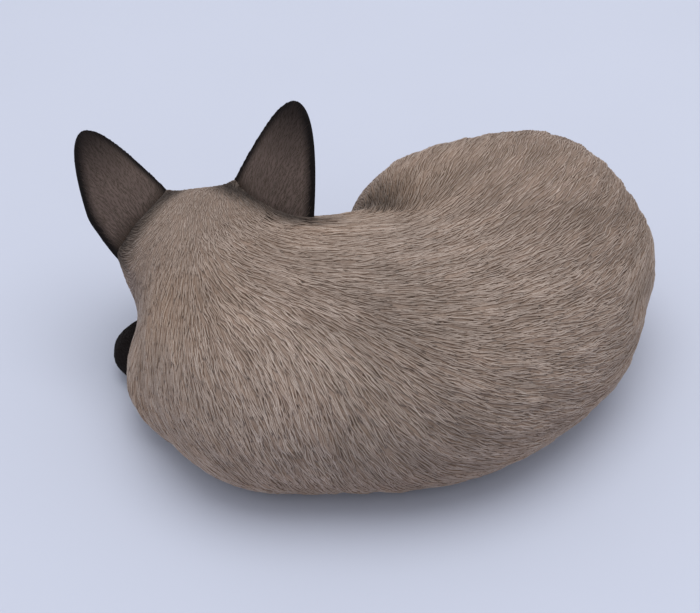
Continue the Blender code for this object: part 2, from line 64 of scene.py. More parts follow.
torso = {
    "masses": [                                   # centre, half sizes, turn about Z
        ((26.7, -40.4, 51.1), (124.2, 95.8, 66.9), 1.4),       # trunk
        ((103.3, 2.6, 47.0), (75.8, 82.4, 58.2), 18.6),        # rump
        ((100.9, 50.3, 59.7), (94.1, 68.8, 59.8), -18.1),      # thigh
        ((121.2, 46.0, 89.9), (45.8, 52.2, 38.5), 8.8),        # hip
        ((-34.5, -54.3, 48.5), (66.6, 77.6, 57.2), -5.9),      # shoulders
        ((-61.4, -36.7, 26.8), (59.4, 48.3, 29.6), 1.4),       # chest
        ((-54.6, -27.9, 65.3), (46.8, 42.3, 44.0), 0.0),       # nape
    ],
    "legs": [                                     # runs of x, y, z and radius
        [(-80, -2, 24, 26), (-75, 16, 18, 23), (-69, 42, 15, 16)],
        [(-84, -30, 28, 22), (-96, -10, 20, 15)],
        [(70, 96, 24, 20), (48, 90, 16, 15)],
    ],
    "softness": 9.0,
    "neckSoftness": 10.0,
    "netStep": 3.6, "netLow": (-146, -160, -32), "netHigh": (212, 150, 146),
}
mainLocks = {                                     # broad locks of the cast fur, as in the solid casting
    "height": 1.3, "spacing": 15.5, "length": 40.0,
    "grooveShade": 0.20, "grooveLevel": 0.35,     # paint is darker, and the skin lower, between the locks
    "apartAlong": 0.62, "apartAcross": 0.95,      # shares of length and spacing that roots keep apart
    "overlap": 1.15, "sway": 0.35, "nearby": 1.1,
    "rootTaper": 5, "tipTaper": 2.2, "tipRound": 0.6, "crestRound": 0.8, "thinnest": 0.05,
    "rootRise": 0.3, "tipRise": 0.9,
    "curlGap": ((-38, 44, 30), (10, 85, 124)),    # walls inside the curl stay smooth
    "curlFade": 10.0, "bondClear": 3.0, "bondFade": 8.0,      # so does the skin beside bonded pieces
    "layBlend": 300.0,
    "lay": [                                      # a point near the skin and the fur's direction there
        (-90, -92, 63, 0.2, -0.8, -0.6), (-97, -47, 85, -0.1, -0.8, -0.6), (-57, -104, 86, 0.5, -0.8, -0.4),
        (-50, -130, 50, 0.5, -0.2, -0.8), (-48, -55, 113, 0.8, -0.6, -0.1), (-55, -10, 116, 0.6, -0.8, 0.0),
        (-5, -135, 50, 0.4, 0.0, -0.9), (-8, -108, 97, 0.5, -0.7, -0.5), (0, -56, 116, 1.0, -0.1, 0.0),
        (-5, -10, 114, 1.0, -0.1, 0.1), (50, -132, 63, 0.8, 0.0, -0.6), (41, -105, 97, 0.9, -0.2, -0.3),
        (40, -50, 116, 0.9, 0.4, -0.1), (58, 4, 114, 0.8, 0.6, 0.1), (47, 46, 108, 0.3, 0.9, 0.1),
        (105, -94, 81, 0.9, 0.4, -0.3), (98, -36, 109, 0.8, 0.6, -0.1), (97, 9, 119, 0.8, 0.5, 0.3),
        (97, 46, 127, 0.3, 1.0, 0.1), (145, -70, 65, 0.7, 0.7, -0.3), (151, -2, 104, 0.6, 0.8, 0.1),
        (178, -10, 60, 0.2, 0.9, 0.4), (100, 110, 95, 0.0, 0.6, -0.8), (150, 95, 60, -0.1, 0.5, -0.8),
        (70, 110, 50, -0.6, 0.2, -0.7), (20, 75, 60, -0.5, 0.2, -0.8), (-45, 30, 40, 0.2, 0.3, -0.9),
        (-110, -25, 40, 0.1, -0.2, -0.9),
    ],
}
head = {
    "centre": (-76, 16, 77),
    "turn": (-16.8, -8.8, 0),                     # pitch, roll, yaw in degrees
    "masses": [                                   # in the head's frame: +X right ear, +Y nose
        ((0, 0, 0), (48, 43, 38), 0),
        ((22, 18, -14), (23, 26, 20), 0),
        ((-22, 18, -14), (23, 26, 20), 0),
        ((7, 53, -17), (10, 11, 9.5), 0),
        ((-7, 53, -17), (10, 11, 9.5), 0),
        ((0, 48, -25), (10, 11, 8), 0),
    ],
    "snout": [(0, 18, -2, 29), (0, 34, -6, 22), (0, 47, -10, 15), (0, 54, -12, 11.5)],
    "softness": 5.0,
    "collar": 14.0,
    "netStep": 1.9, "netLow": (-150, -62, 2), "netHigh": (4, 122, 150),
}
limbs = {
    "forepaw_left": [(-100, -14, 17, 12.5), (-119, -9, 16, 13), (-124, 3, 15, 12.5), (-116, 17, 14, 12),
                     (-103, 26, 13.5, 11.5)],
    "forepaw_right": [(-69, 40, 15, 14), (-70, 60, 14, 13), (-70, 76, 13.5, 13.5)],
    "hind_paw_right": [(52, 88, 15, 14), (20, 88, 14, 13), (-10, 86, 13.5, 12.5), (-32, 84, 13.5, 13.5)],
    "hind_paw_left": [(30, 40, 15, 13), (14, 56, 14, 13), (-8, 57.5, 13.5, 12), (-30, 56, 13.5, 12.5)],
    "tail": [(140, 70, 24, 16), (148, 96, 19, 15), (126, 116, 15, 13.5), (92, 126, 13, 12.5),
             (52, 126, 12, 12), (14, 119, 12, 11.5), (-20, 111.5, 12, 11), (-56, 107, 12, 10.5),
             (-92, 99, 11, 10), (-114, 80, 10, 8.5)],
}
padProud = 1.5                                    # felt pads lift the castings this far off the ground
plateRecess = {
    "roof": 6.8, "rim": 3.0,                      # height of the recess, and the casting's edge round it
    "rimBelow": 0.0075, "rimLevel": 1e-5,         # metres: open edges so low and so level are its rim
}


def unit(rows):
    return rows / np.maximum(np.linalg.norm(rows, axis=-1, keepdims=True), 1e-9)


def smoothStep(low, high, value):
    t = np.clip((value - low) / (high - low), 0, 1)
    return t * t * (3 - 2 * t)


def grown(part, value):
    amount, start, end = part
    return amount * smoothStep(start, end, value)


def alongSkin(ways, normals):
    return unit(ways - normals * (ways * normals).sum(-1, keepdims=True))


def toFrame(points):
    return (points + drawingShift) * mm


def fromFrame(points):
    return points / mm - drawingShift


def placed(matrix, points):
    return points @ matrix[:3, :3].T + matrix[:3, 3]


def ballDistance(points, centre, halfSizes, turn=0.0):
    angle = radians(turn)
    away = points - np.array(centre, float)
    local = np.stack([away[..., 0] * cos(angle) + away[..., 1] * sin(angle),
                      away[..., 1] * cos(angle) - away[..., 0] * sin(angle), away[..., 2]], -1)
    sizes = np.array(halfSizes, float)
    near = np.linalg.norm(local / sizes, axis=-1)
    return near * (near - 1) / (np.linalg.norm(local / sizes ** 2, axis=-1) + 1e-9)


def smoothRun(stations, spacing=0.6):
    points = [Vector(s) for s in stations]
    padded = [2 * points[0] - points[1], *points, 2 * points[-1] - points[-2]]
    run = []
    for a, b, c, d in zip(padded, padded[1:], padded[2:], padded[3:]):
        steps = max(2, ceil((c - b).length / (b.w * spacing)))
        for i in range(steps):
            t = i / steps
            run.append(0.5 * (2 * b + (c - a) * t + (2 * a - 5 * b + 4 * c - d) * t ** 2
                              + (3 * b - a - 3 * c + d) * t ** 3))
    return run + [points[-1]]


def limbDistance(points, stations):
    nearest = None
    run = smoothRun(stations)
    for start, end in zip(run, run[1:]):
        a = np.array(start[:3])
        along = np.array(end[:3]) - a
        share = np.clip((points - a) @ along / (along @ along), 0, 1)
        reach = np.linalg.norm(points - a - share[..., None] * along, axis=-1)
        reach -= start[3] + share * (end[3] - start[3])
        nearest = reach if nearest is None else np.minimum(nearest, reach)
    return nearest


def blended(distances, softness):
    stack = np.stack(distances)
    least = stack.min(axis=0)
    return least - softness * np.log(np.exp((least - stack) / softness).sum(axis=0))


def torsoDistance(points):
    parts = [ballDistance(points, *mass) for mass in torso["masses"]]
    parts += [limbDistance(points, leg) for leg in torso["legs"]]
    return blended(parts, torso["softness"])


pitch, roll, yaw = (radians(a) for a in head["turn"])
headPlace = (Matrix.Translation(Vector(head["centre"])) @ Matrix.Rotation(yaw, 4, "Z")
             @ Matrix.Rotation(roll, 4, "Y") @ Matrix.Rotation(pitch, 4, "X"))
headMatrix = np.array(headPlace)
headInverse = np.array(headPlace.inverted())


def inHead(points):
    return placed(headInverse, points)


def fromHead(points):
    return placed(headMatrix, points)


def headDistance(points):
    local = inHead(points)
    parts = [ballDistance(local, *mass) for mass in head["masses"]]
    parts.append(limbDistance(local, head["snout"]))
    return blended(parts, head["softness"])


def wholeDistance(points):
    return blended([torsoDistance(points), headDistance(points)], torso["neckSoftness"])


def neckDistance(points):
    skull = headDistance(points)
    return np.maximum((skull - torsoDistance(points)) / 2, skull - head["collar"])


def gradient(distance, points, reach=0.05):
    here = distance(points)
    return np.stack([distance(points + nudge) - here for nudge in np.eye(3) * reach], -1) / reach


def settle(distance, points, limit, level=0.0, rounds=3):
    for _ in range(rounds):
        miss = distance(points) - level
        slope = gradient(distance, points)
        move = np.clip(miss / np.maximum((slope ** 2).sum(-1), 0.2), -limit, limit)
        points = points - slope * move[:, None]
    return points


def netSkin(distance, low, high, step, level=0.0):
    axes = [np.arange(a, b + step, step) for a, b in zip(low, high)]
    value = distance(np.stack(np.meshgrid(*axes, indexing="ij"), -1)) - level
    cells = tuple(n - 1 for n in value.shape)
    total = np.zeros((*cells, 3))
    count = np.zeros(cells)
    edges = []
    for axis in range(3):
        a = np.take(value, range(value.shape[axis] - 1), axis)
        b = np.take(value, range(1, value.shape[axis]), axis)
        crossing = (a < 0) != (b < 0)
        share = np.where(crossing, a / np.where(crossing, a - b, 1), 0)
        spot = np.stack(np.indices(a.shape), -1).astype(float)
        spot[..., axis] += share
        spot *= crossing[..., None]
        others = [i for i in range(3) if i != axis]
        for first in (0, 1):
            for second in (0, 1):
                window = [slice(None)] * 3
                window[others[0]] = slice(first, first + cells[others[0]])
                window[others[1]] = slice(second, second + cells[others[1]])
                total += spot[tuple(window)]
                count += crossing[tuple(window)]
        edges.append((axis, others, np.argwhere(crossing), (a < 0)[crossing]))
    used = count > 0
    number = np.full(cells, -1)
    number[used] = np.arange(used.sum())
    corners = np.array(low, float) + step * total[used] / count[used][:, None]
    faces = []
    for axis, others, where, outward in edges:
        inside = (where > 0)[:, others].all(1) & (where < cells)[:, others].all(1)
        where, outward = where[inside], outward[inside]          # the skin stops at the grid's edge
        ring = []
        for first, second in ((1, 1), (0, 1), (0, 0), (1, 0)):
            cell = where.copy()
            cell[:, others[0]] -= first
            cell[:, others[1]] -= second
            ring.append(number[tuple(cell.T)])
        ring = np.stack(ring, -1)
        flip = outward if axis != 1 else ~outward
        faces.append(np.where(flip[:, None], ring, ring[:, ::-1]))
    return settle(distance, corners, step / 3, level), np.concatenate(faces)


def mainLay(points, normals):
    lay = np.array(mainLocks["lay"], float)
    near = 1 / (((points[:, None] - lay[None, :, :3]) ** 2).sum(-1) + mainLocks["layBlend"]) ** 1.5
    return alongSkin(near @ lay[:, 3:], normals)


def mainRoots(points, normals):
    apart = mainLocks["length"] * mainLocks["apartAlong"], mainLocks["spacing"] * mainLocks["apartAcross"]
    lay = mainLay(points, normals)
    order = np.argsort(np.sin(np.arange(len(points)) * 12.9898) * 43758.5453 % 1.0)     # fixed shuffle
    kept = np.zeros((0, 3))
    chosen = []
    for index in order:
        away = kept - points[index]
        along = away @ lay[index]
        across = np.linalg.norm(away - along[:, None] * lay[index], axis=1)
        if not (np.hypot(along / apart[0], across / apart[1]) < 1).any():
            kept = np.vstack([kept, points[index]])
            chosen.append(index)
    return points[chosen], normals[chosen], lay[chosen]


def mainRelief(points, roots):
    width, length = mainLocks["spacing"] * mainLocks["overlap"], mainLocks["length"]
    height = np.zeros(len(points))
    for place, normal, lay in zip(*roots):
        away = points - place
        close = np.flatnonzero((away ** 2).sum(-1) < length ** 2 * mainLocks["nearby"])
        away = away[close]
        along = away @ lay / length
        across = away @ np.cross(normal, lay) / (width / 2) + mainLocks["sway"] * np.sin(along * pi)
        tip = np.clip((1 - along) * mainLocks["tipTaper"], 0, 1) ** mainLocks["tipRound"]
        taper = np.maximum(np.clip(along * mainLocks["rootTaper"], 0, 1) * tip, mainLocks["thinnest"])
        crest = np.clip(1 - np.abs(across) / taper, 0, 1) ** mainLocks["crestRound"]
        rise = np.clip(mainLocks["rootRise"] + mainLocks["tipRise"] * along, 0, 1) * crest
        rise = np.where((along > 0) & (along < 1), rise, 0)
        height[close] = np.maximum(height[close], rise)
    low, high = (np.array(corner) for corner in mainLocks["curlGap"])
    outside = np.linalg.norm(np.maximum(np.maximum(low - points, points - high), 0), axis=-1)
    nearLimb = np.min([limbDistance(points, limb) for limb in limbs.values()], axis=0)
    fade = np.clip(outside / mainLocks["curlFade"], 0, 1)
    fade *= np.clip((neckDistance(points) - mainLocks["bondClear"]) / mainLocks["bondFade"], 0, 1)
    fade *= np.clip((nearLimb - mainLocks["bondClear"]) / mainLocks["bondFade"], 0, 1)
    return (height - mainLocks["grooveLevel"]) * fade


def quartered(points, faces):
    ends = np.sort(faces[:, [0, 1, 1, 2, 2, 3, 3, 0]].reshape(-1, 2), axis=1)
    edges, which = np.unique(ends, axis=0, return_inverse=True)
    which = which.reshape(-1, 4) + len(points)
    centre = np.arange(len(faces)) + len(points) + len(edges)
    made = np.concatenate([points, points[edges].mean(1), points[faces].mean(1)])
    quads = [np.stack([faces[:, k], which[:, k], centre, which[:, k - 1]], -1) for k in range(4)]
    return made, np.concatenate(quads)


workshop = bpy.data.collections.new("workshop")             # sources that are removed again
bpy.context.scene.collection.children.link(workshop)


def addPiece(name, mesh, material=None, where=None):
    obj = bpy.data.objects.new(name, mesh)
    (where or bpy.context.scene.collection).objects.link(obj)
    if material:
        mesh.materials.clear()
        mesh.materials.append(material)
    return obj


def meshOf(name, points, faces):
    mesh = bpy.data.meshes.new(name)
    mesh.from_pydata(np.asarray(points).tolist(), [], [list(map(int, f)) for f in faces])
    return mesh


def frozen(obj, name=None):
    graph = bpy.context.evaluated_depsgraph_get()
    mesh = bpy.data.meshes.new_from_object(obj.evaluated_get(graph), preserve_all_data_layers=True,
                                           depsgraph=graph)
    if name:
        mesh.name = name
    bpy.data.objects.remove(obj)
    return mesh


@contextmanager
def reshaping(mesh):
    work = bmesh.new()
    work.from_mesh(mesh)
    yield work
    work.to_mesh(mesh)
    work.free()


def openEdges(work):
    return [edge for edge in work.edges if edge.is_boundary]


def drawnOut(work, edges):
    made = bmesh.ops.extrude_edge_only(work, edges=edges)["geom"]
    return [item for item in made if isinstance(item, bmesh.types.BMVert)]


def capped(work, edges):
    filled = bmesh.ops.holes_fill(work, edges=edges, sides=0)["faces"]
    bmesh.ops.triangulate(work, faces=filled)


def readVectors(rows, key="co"):
    flat = np.empty(len(rows) * 3, np.float32)
    rows.foreach_get(key, flat)
    return flat.reshape(-1, 3).astype(float)


def readField(mesh, name):
    values = np.empty(len(mesh.attributes[name].data), np.float32)
    mesh.attributes[name].data.foreach_get("value", values)
    return values


def writePoints(mesh, points):
    mesh.vertices.foreach_set("co", np.asarray(points, np.float32).ravel())
    mesh.update()


def store(mesh, **fields):
    for name, values in fields.items():
        values = np.asarray(values, np.float32)
        if values.ndim == 0:
            values = np.full(len(mesh.vertices), values)
        kind, key = ("FLOAT", "value") if values.ndim == 1 else ("FLOAT_VECTOR", "vector")
        layer = mesh.attributes.get(name) or mesh.attributes.new(name, kind, "POINT")
        layer.data.foreach_set(key, values.ravel())


def addNode(tree, kind, inputs=None, **settings):
    made = tree.nodes.new(kind)
    for key, value in settings.items():
        setattr(made, key, value)
    for key, value in (inputs or {}).items():
        if isinstance(value, bpy.types.NodeSocket):
            tree.links.new(value, made.inputs[key])
        else:
            made.inputs[key].default_value = value
    return made


def maths(tree, operation, a, b=0.0, c=0.0, clamp=False):
    made = addNode(tree, "ShaderNodeMath", {0: a, 1: b, 2: c}, operation=operation)
    made.use_clamp = clamp
    return made.outputs[0]


def times(tree, a, b, clamp=False):
    return maths(tree, "MULTIPLY", a, b, clamp=clamp)


def linear(tree, value, slope, start, clamp=False):
    return maths(tree, "MULTIPLY_ADD", value, slope, start, clamp)


def blendColour(tree, factor, a, b, mode="MIX"):
    made = addNode(tree, "ShaderNodeMix", data_type="RGBA", blend_type=mode)
    for key, value in ((0, factor), (6, a), (7, b)):
        if isinstance(value, bpy.types.NodeSocket):
            tree.links.new(value, made.inputs[key])
        else:
            made.inputs[key].default_value = value if key == 0 else (*value, 1)
    return made.outputs[2]


def toned(tree, colour, level):
    grey = addNode(tree, "ShaderNodeCombineColor", {0: level, 1: level, 2: level}).outputs[0]
    return blendColour(tree, 1.0, colour, grey, "MULTIPLY")


def attribute(tree, name):
    return addNode(tree, "ShaderNodeAttribute", attribute_name=name).outputs["Fac"]


def newPaint(name, roughness=0.7):
    made = bpy.data.materials.new(name)
    made.use_nodes = True
    tree = made.node_tree
    shader = tree.nodes["Principled BSDF"]
    shader.inputs["Roughness"].default_value = roughness
    spot = addNode(tree, "ShaderNodeTexCoord").outputs["Object"]
    return made, tree, shader, spot


def noise(tree, spot, scale, detail=3.0, roughness=0.5):
    return addNode(tree, "ShaderNodeTexNoise", {"Vector": spot, "Scale": scale, "Detail": detail,
                                                "Roughness": roughness}).outputs["Fac"]


def bump(tree, shader, height, strength, distance):
    made = addNode(tree, "ShaderNodeBump", {"Height": height, "Strength": strength, "Distance": distance})
    tree.links.new(made.outputs["Normal"], shader.inputs["Normal"])


coat = {
    "groove": (0.178, 0.118, 0.086),              # dark wash in the hollows of the fur, also painted shade
    "middle": (0.268, 0.210, 0.180),
    "ridge": (0.575, 0.498, 0.455),               # pale paint over the crests, also painted highlight
    "warm": (0.270, 0.190, 0.142),
    # the dark points get the same wash and pale crests, also painted shade and painted highlight
    "sealGroove": (0.004, 0.003, 0.0032),
    "sealMiddle": (0.010, 0.0075, 0.0077),
    "sealRidge": (0.026, 0.019, 0.0185),
    "roughness": 0.74, "gloss": 0.20, "sealGloss": 0.06,
    # hollows are random patches of painted shade among the clumps of fur
    "streaks": 1500, "grain": 700, "blotches": 38, "hollows": 170, "wear": 240,     # noise, per metre
    "lockPores": 2200, "skinPores": 900, "poreDepth": 0.0003, "poreStrength": 0.35,
}
coatMix = {                                       # slope and start of each mix
    "crest": (5.0, -4.0), "crestAlong": (0.55, 0.45), "crestTone": (1.0, 0.45), "crestStreak": (1.1, 0.45),
    "flankRidge": 1.8, "flankAlong": (0.35, -0.60), "bareCrest": 0.10, "bareFlank": (0.8, 0.15),
    "hollow": (-2.6, 2.25), "flankInHollow": (0.55, 0.45), "crestInHollow": (0.5, 0.5),
    "blotch": (0.36, 0.82), "sealCrest": 0.7, "wear": (0.25, coat["roughness"] - 0.12),
}


def coatPaint(name, onLocks, gloss=coat["gloss"]):
    made, tree, shader, spot = newPaint(name, coat["roughness"])
    shader.inputs["Specular IOR Level"].default_value = gloss
    shade, seal, warm = (attribute(tree, key) for key in ("shade", "seal", "warm"))
    if onLocks:                                   # pale crest, more so at the tip: paint and painted highlight
        ridge, along, tone = (attribute(tree, key) for key in ("ridge", "along", "tone"))
        streak = noise(tree, spot, coat["streaks"], 1.0)
        crest = linear(tree, ridge, *coatMix["crest"], clamp=True)
        crest = times(tree, crest, linear(tree, along, *coatMix["crestAlong"]))
        crest = times(tree, crest, linear(tree, tone, *coatMix["crestTone"]))
        crest = times(tree, crest, linear(tree, streak, *coatMix["crestStreak"]), clamp=True)
        # darker at the lock's edges and towards its root, under its neighbours: wash and painted shade
        flank = linear(tree, along, *coatMix["flankAlong"])
        flank = linear(tree, ridge, coatMix["flankRidge"], flank, clamp=True)
    else:
        grain = noise(tree, spot, coat["grain"], 3.0)
        crest = times(tree, grain, coatMix["bareCrest"])
        flank = linear(tree, grain, *coatMix["bareFlank"], clamp=True)
    # random darker patches: painted shade for the shadows among clumps of fur
    hollow = linear(tree, noise(tree, spot, coat["hollows"], 2.0), *coatMix["hollow"], clamp=True)
    flank = times(tree, flank, linear(tree, hollow, *coatMix["flankInHollow"]))
    crest = times(tree, crest, linear(tree, hollow, *coatMix["crestInHollow"]))
    fawn = blendColour(tree, flank, coat["groove"], blendColour(tree, warm, coat["middle"], coat["warm"]))
    fawn = blendColour(tree, crest, fawn, coat["ridge"])
    blotch = linear(tree, noise(tree, spot, coat["blotches"], 3.0), *coatMix["blotch"])
    fawn = toned(tree, fawn, times(tree, shade, blotch))
    dark = blendColour(tree, flank, coat["sealGroove"], coat["sealMiddle"])
    dark = blendColour(tree, times(tree, crest, coatMix["sealCrest"]), dark, coat["sealRidge"])
    tree.links.new(blendColour(tree, seal, fawn, dark), shader.inputs["Base Color"])
    wear = linear(tree, noise(tree, spot, coat["wear"], 2.0), *coatMix["wear"])
    tree.links.new(wear, shader.inputs["Roughness"])
    pores = noise(tree, spot, coat["lockPores"] if onLocks else coat["skinPores"], 2.0)
    bump(tree, shader, pores, coat["poreStrength"], coat["poreDepth"])
    return made


lockPaint = coatPaint("painted_fur", True)
skinPaint = coatPaint("painted_skin", False)
sealLockPaint = coatPaint("painted_seal_fur", True, coat["sealGloss"])
sealSkinPaint = coatPaint("painted_seal_skin", False, coat["sealGloss"])

# Which way the fur lies: x, y, z on the drawing and the direction there, from nose to tail
furStrokes = [
    (-107, -10, 99, -0.5, -0.4, -0.8), (-96, -1, 110, -0.5, -0.7, -0.4), (-88, 11, 115, -0.2, -1.0, -0.0),
    (-77, 19, 116, 0.1, -1.0, 0.2), (-64, 9, 117, 0.2, -1.0, 0.0), (-52, 1, 116, 0.4, -0.9, -0.0),
    (-100, -34, 92, -0.3, -0.6, -0.7), (-88, -28, 106, -0.3, -0.8, -0.5), (-74, -20, 114, 0.3, -1.0, -0.1),
    (-60, -24, 116, 0.8, -0.6, 0.1), (-102, -50, 81, 0.1, -1.0, -0.3), (-87, -55, 98, -0.3, -0.8, -0.6),
    (-72, -57, 106, 0.3, -0.9, -0.2), (-61, -47, 113, 0.7, -0.7, 0.0), (-48, -25, 117, 0.8, -0.5, 0.0),
    (-32, -5, 113, 0.8, -0.6, 0.0), (-15, -11, 114, 1.0, -0.2, 0.1), (5, -9, 114, 1.0, -0.1, 0.1),
    (-47, -50, 115, 0.9, -0.5, 0.0), (-28, -48, 117, 1.0, -0.2, 0.0), (-9, -40, 118, 1.0, 0.2, 0.0),
    (11, -36, 118, 1.0, 0.3, 0.0), (-79, -83, 91, -0.1, -0.8, -0.5), (-94, -86, 72, -0.1, -0.7, -0.7),
    (-108, -70, 48, 0.1, -0.6, -0.8), (-65, -84, 100, 0.5, -0.8, -0.1), (-52, -76, 107, 0.8, -0.6, 0.0),
    (-33, -73, 112, 0.8, -0.6, -0.1), (-19, -68, 114, 0.8, -0.6, -0.1), (-3, -69, 115, 1.0, -0.3, -0.0),
    (13, -69, 115, 1.0, -0.1, -0.0), (-101, -85, 46, 0.4, -0.8, -0.5), (-84, -105, 67, 0.2, -0.7, -0.7),
    (-70, -110, 79, 0.3, -0.8, -0.5), (-56, -107, 91, 0.3, -0.8, -0.5), (-40, -104, 98, 0.3, -0.8, -0.4),
    (-24, -100, 102, 0.5, -0.8, -0.4), (-8, -96, 106, 0.6, -0.7, -0.3), (8, -94, 107, 0.8, -0.6, -0.2),
    (-92, -100, 41, 0.6, -0.8, -0.3), (-73, -121, 52, 0.6, -0.5, -0.6), (-56, -127, 66, 0.4, -0.5, -0.8),
    (-40, -125, 78, 0.3, -0.6, -0.8), (-24, -123, 83, 0.1, -0.6, -0.8), (-8, -120, 88, 0.3, -0.7, -0.7),
    (8, -115, 94, 0.5, -0.7, -0.5), (-57, -130, 45, 0.6, -0.2, -0.8), (-41, -134, 43, 0.4, 0.0, -0.9),
    (-24, -136, 48, 0.6, 0.0, -0.8), (-8, -135, 59, 0.4, -0.2, -0.9), (8, -132, 70, 0.4, -0.4, -0.8),
    (-19, -134, 35, 0.1, 0.3, -0.9), (3, -135, 37, 0.2, 0.3, -0.9), (21, -137, 53, 0.5, -0.0, -0.9),
    (28, -26, 118, 0.9, 0.4, -0.1), (27, -54, 118, 0.9, 0.4, 0.0), (27, -82, 112, 1.0, -0.0, -0.0),
    (29, -104, 102, 0.9, -0.4, -0.3), (34, -124, 84, 0.7, -0.4, -0.6), (35, -134, 65, 0.7, -0.2, -0.7),
    (48, -10, 115, 0.7, 0.7, -0.1), (52, -44, 117, 0.8, 0.5, -0.1), (51, -74, 112, 1.0, 0.3, -0.0),
    (56, -97, 103, 1.0, 0.0, -0.2), (61, -118, 86, 0.9, -0.1, -0.4), (67, -130, 61, 0.9, 0.1, -0.5),
    (78, -127, 47, 0.8, 0.3, -0.4), (21, 34, 98, -0.2, 0.9, -0.4), (27, 42, 99, -0.1, 1.0, -0.2),
    (35, 44, 103, 0.2, 1.0, 0.1), (44, 44, 108, 0.4, 0.9, 0.3), (56, 50, 113, 0.5, 0.9, 0.2),
    (71, 49, 119, 0.5, 0.8, 0.2), (85, 48, 124, 0.4, 0.9, 0.1), (109, 45, 130, 0.2, 1.0, 0.0),
    (131, 33, 129, 0.4, 0.9, 0.1), (149, 26, 122, 0.4, 0.9, 0.0), (67, 19, 114, 0.8, 0.5, 0.3),
    (84, 21, 120, 0.8, 0.4, 0.4), (94, -3, 115, 0.9, 0.5, 0.2), (112, 8, 122, 0.7, 0.6, 0.3),
    (129, -3, 115, 0.7, 0.6, 0.2), (147, 2, 112, 0.6, 0.8, 0.2), (161, 16, 109, 0.4, 0.9, 0.1),
    (81, -29, 113, 0.7, 0.7, -0.1), (97, -50, 108, 0.8, 0.6, -0.1), (115, -30, 107, 0.8, 0.6, -0.1),
    (132, -38, 99, 0.7, 0.7, -0.1), (151, -23, 94, 0.6, 0.8, -0.1), (169, 0, 92, 0.6, 0.8, -0.1),
    (179, -8, 72, 0.2, 0.9, 0.4), (84, -81, 104, 0.9, 0.4, -0.1), (106, -79, 96, 0.8, 0.5, -0.2),
    (124, -77, 87, 0.8, 0.5, -0.3), (142, -62, 81, 0.7, 0.6, -0.3), (162, -47, 70, 0.6, 0.7, -0.3),
    (176, -25, 60, 0.2, 0.8, 0.5), (88, -108, 84, 0.9, 0.1, -0.4), (111, -100, 77, 0.9, 0.4, -0.4),
    (135, -82, 70, 0.7, 0.6, -0.4), (156, -65, 55, 0.6, 0.8, 0.1), (100, -116, 62, 0.9, 0.4, -0.3),
    (124, -100, 56, 0.7, 0.5, -0.5), (143, -81, 50, 0.6, 0.7, -0.3),
]
hiddenStrokes = [
    (60, 85, 118, 0.2, 0.9, -0.2), (100, 110, 95, 0.0, 0.6, -0.8), (60, 105, 80, -0.4, 0.3, -0.85),
    (120, 118, 60, -0.2, 0.2, -0.95), (150, 95, 60, -0.1, 0.6, -0.7), (168, 70, 55, -0.1, 0.8, -0.2),
    (178, 30, 40, 0.0, 0.8, 0.4), (150, 105, 40, -0.5, 0.5, -0.6), (70, 112, 50, -0.6, 0.2, -0.75),
    (40, 95, 50, -0.7, 0.0, -0.6), (15, 70, 60, -0.5, 0.2, -0.8), (0, 60, 80, -0.4, 0.3, -0.8),
    (0, 50, 40, -0.2, 0.2, -0.9), (-20, 30, 60, 0.3, 0.2, -0.9), (-45, 30, 40, 0.2, 0.3, -0.9),
    (-112, -30, 40, 0.1, -0.3, -0.9), (-105, 5, 35, -0.2, 0.5, -0.8), (-75, 28, 40, 0.0, 0.4, -0.85),
    (-69, 45, 20, 0.1, 0.9, -0.3), (62, 100, 22, -0.9, 0.0, -0.2), (100, -92, 20, 0.9, 0.3, 0.0),
    (160, -40, 20, 0.6, 0.8, 0.1), (0, -130, 20, 0.7, 0.0, -0.6), (-60, -120, 18, 0.6, -0.3, -0.7),
]
faceStrokes = [                                   # in the head's frame
    (0, 64, -2, 0, -0.8, 0.6), (0, 52, 9, 0, -0.75, 0.6), (0, 40, 22, 0, -0.75, 0.65),
    (0, 24, 33, 0, -0.95, 0.3), (0, 0, 42, 0, -1, 0),
    (26, 33, 18, 0.5, -0.7, 0.5), (-26, 33, 18, -0.5, -0.7, 0.5),
    (42, 24, 6, 0.35, -0.9, 0.1), (-42, 24, 6, -0.35, -0.9, 0.1), (44, 20, -14, 0.3, -0.9, -0.3),
    (-44, 20, -14, -0.3, -0.9, -0.3), (28, 46, -12, 0.7, -0.7, -0.1), (-28, 46, -12, -0.7, -0.7, -0.1),
    (12, 66, -16, 0.8, -0.5, -0.2), (-12, 66, -16, -0.8, -0.5, -0.2), (0, 66, -30, 0, -0.6, -0.8),
    (22, 40, -32, 0.3, -0.8, -0.5), (-22, 40, -32, -0.3, -0.8, -0.5), (0, 40, -40, 0, -1, -0.3),
]


strokeReach = {                                   # how strokes share in the direction at a point
    "near": 17.0, "far": 40.0, "farSpread": 400.0, "turnedAway": 0.25, "least": 0.02,
    "earAcross": (-0.7, 0, 0.7), "earDown": 1.12,
}


def earStrokes():
    rows = []
    for side in (1, -1):
        up = np.array(earPlace(side))[:3, 2]
        for across in strokeReach["earAcross"]:
            rows.append((*earPoints(side, np.array([across]), np.array([strokeReach["earDown"]]))[0], *up))
    return np.array(rows)


def furDirection(points, normals):
    face = np.array(faceStrokes, float)
    face = np.concatenate([fromHead(face[:, :3]), face[:, 3:] @ headMatrix[:3, :3].T], 1)
    table = np.concatenate([np.array(furStrokes), np.array(hiddenStrokes), earStrokes(), face])
    spots, ways = table[:, :3], unit(table[:, 3:])
    sides = unit(gradient(wholeDistance, spots))
    away = ((points[:, None, :] - spots[None]) ** 2).sum(-1)
    weight = np.exp(-away / (2 * strokeReach["near"] ** 2))
    weight = weight + strokeReach["far"] / (away + strokeReach["farSpread"]) ** 2
    weight *= np.clip(normals @ sides.T + strokeReach["turnedAway"], strokeReach["least"], 1.0)
    return alongSkin(weight @ ways, normals)
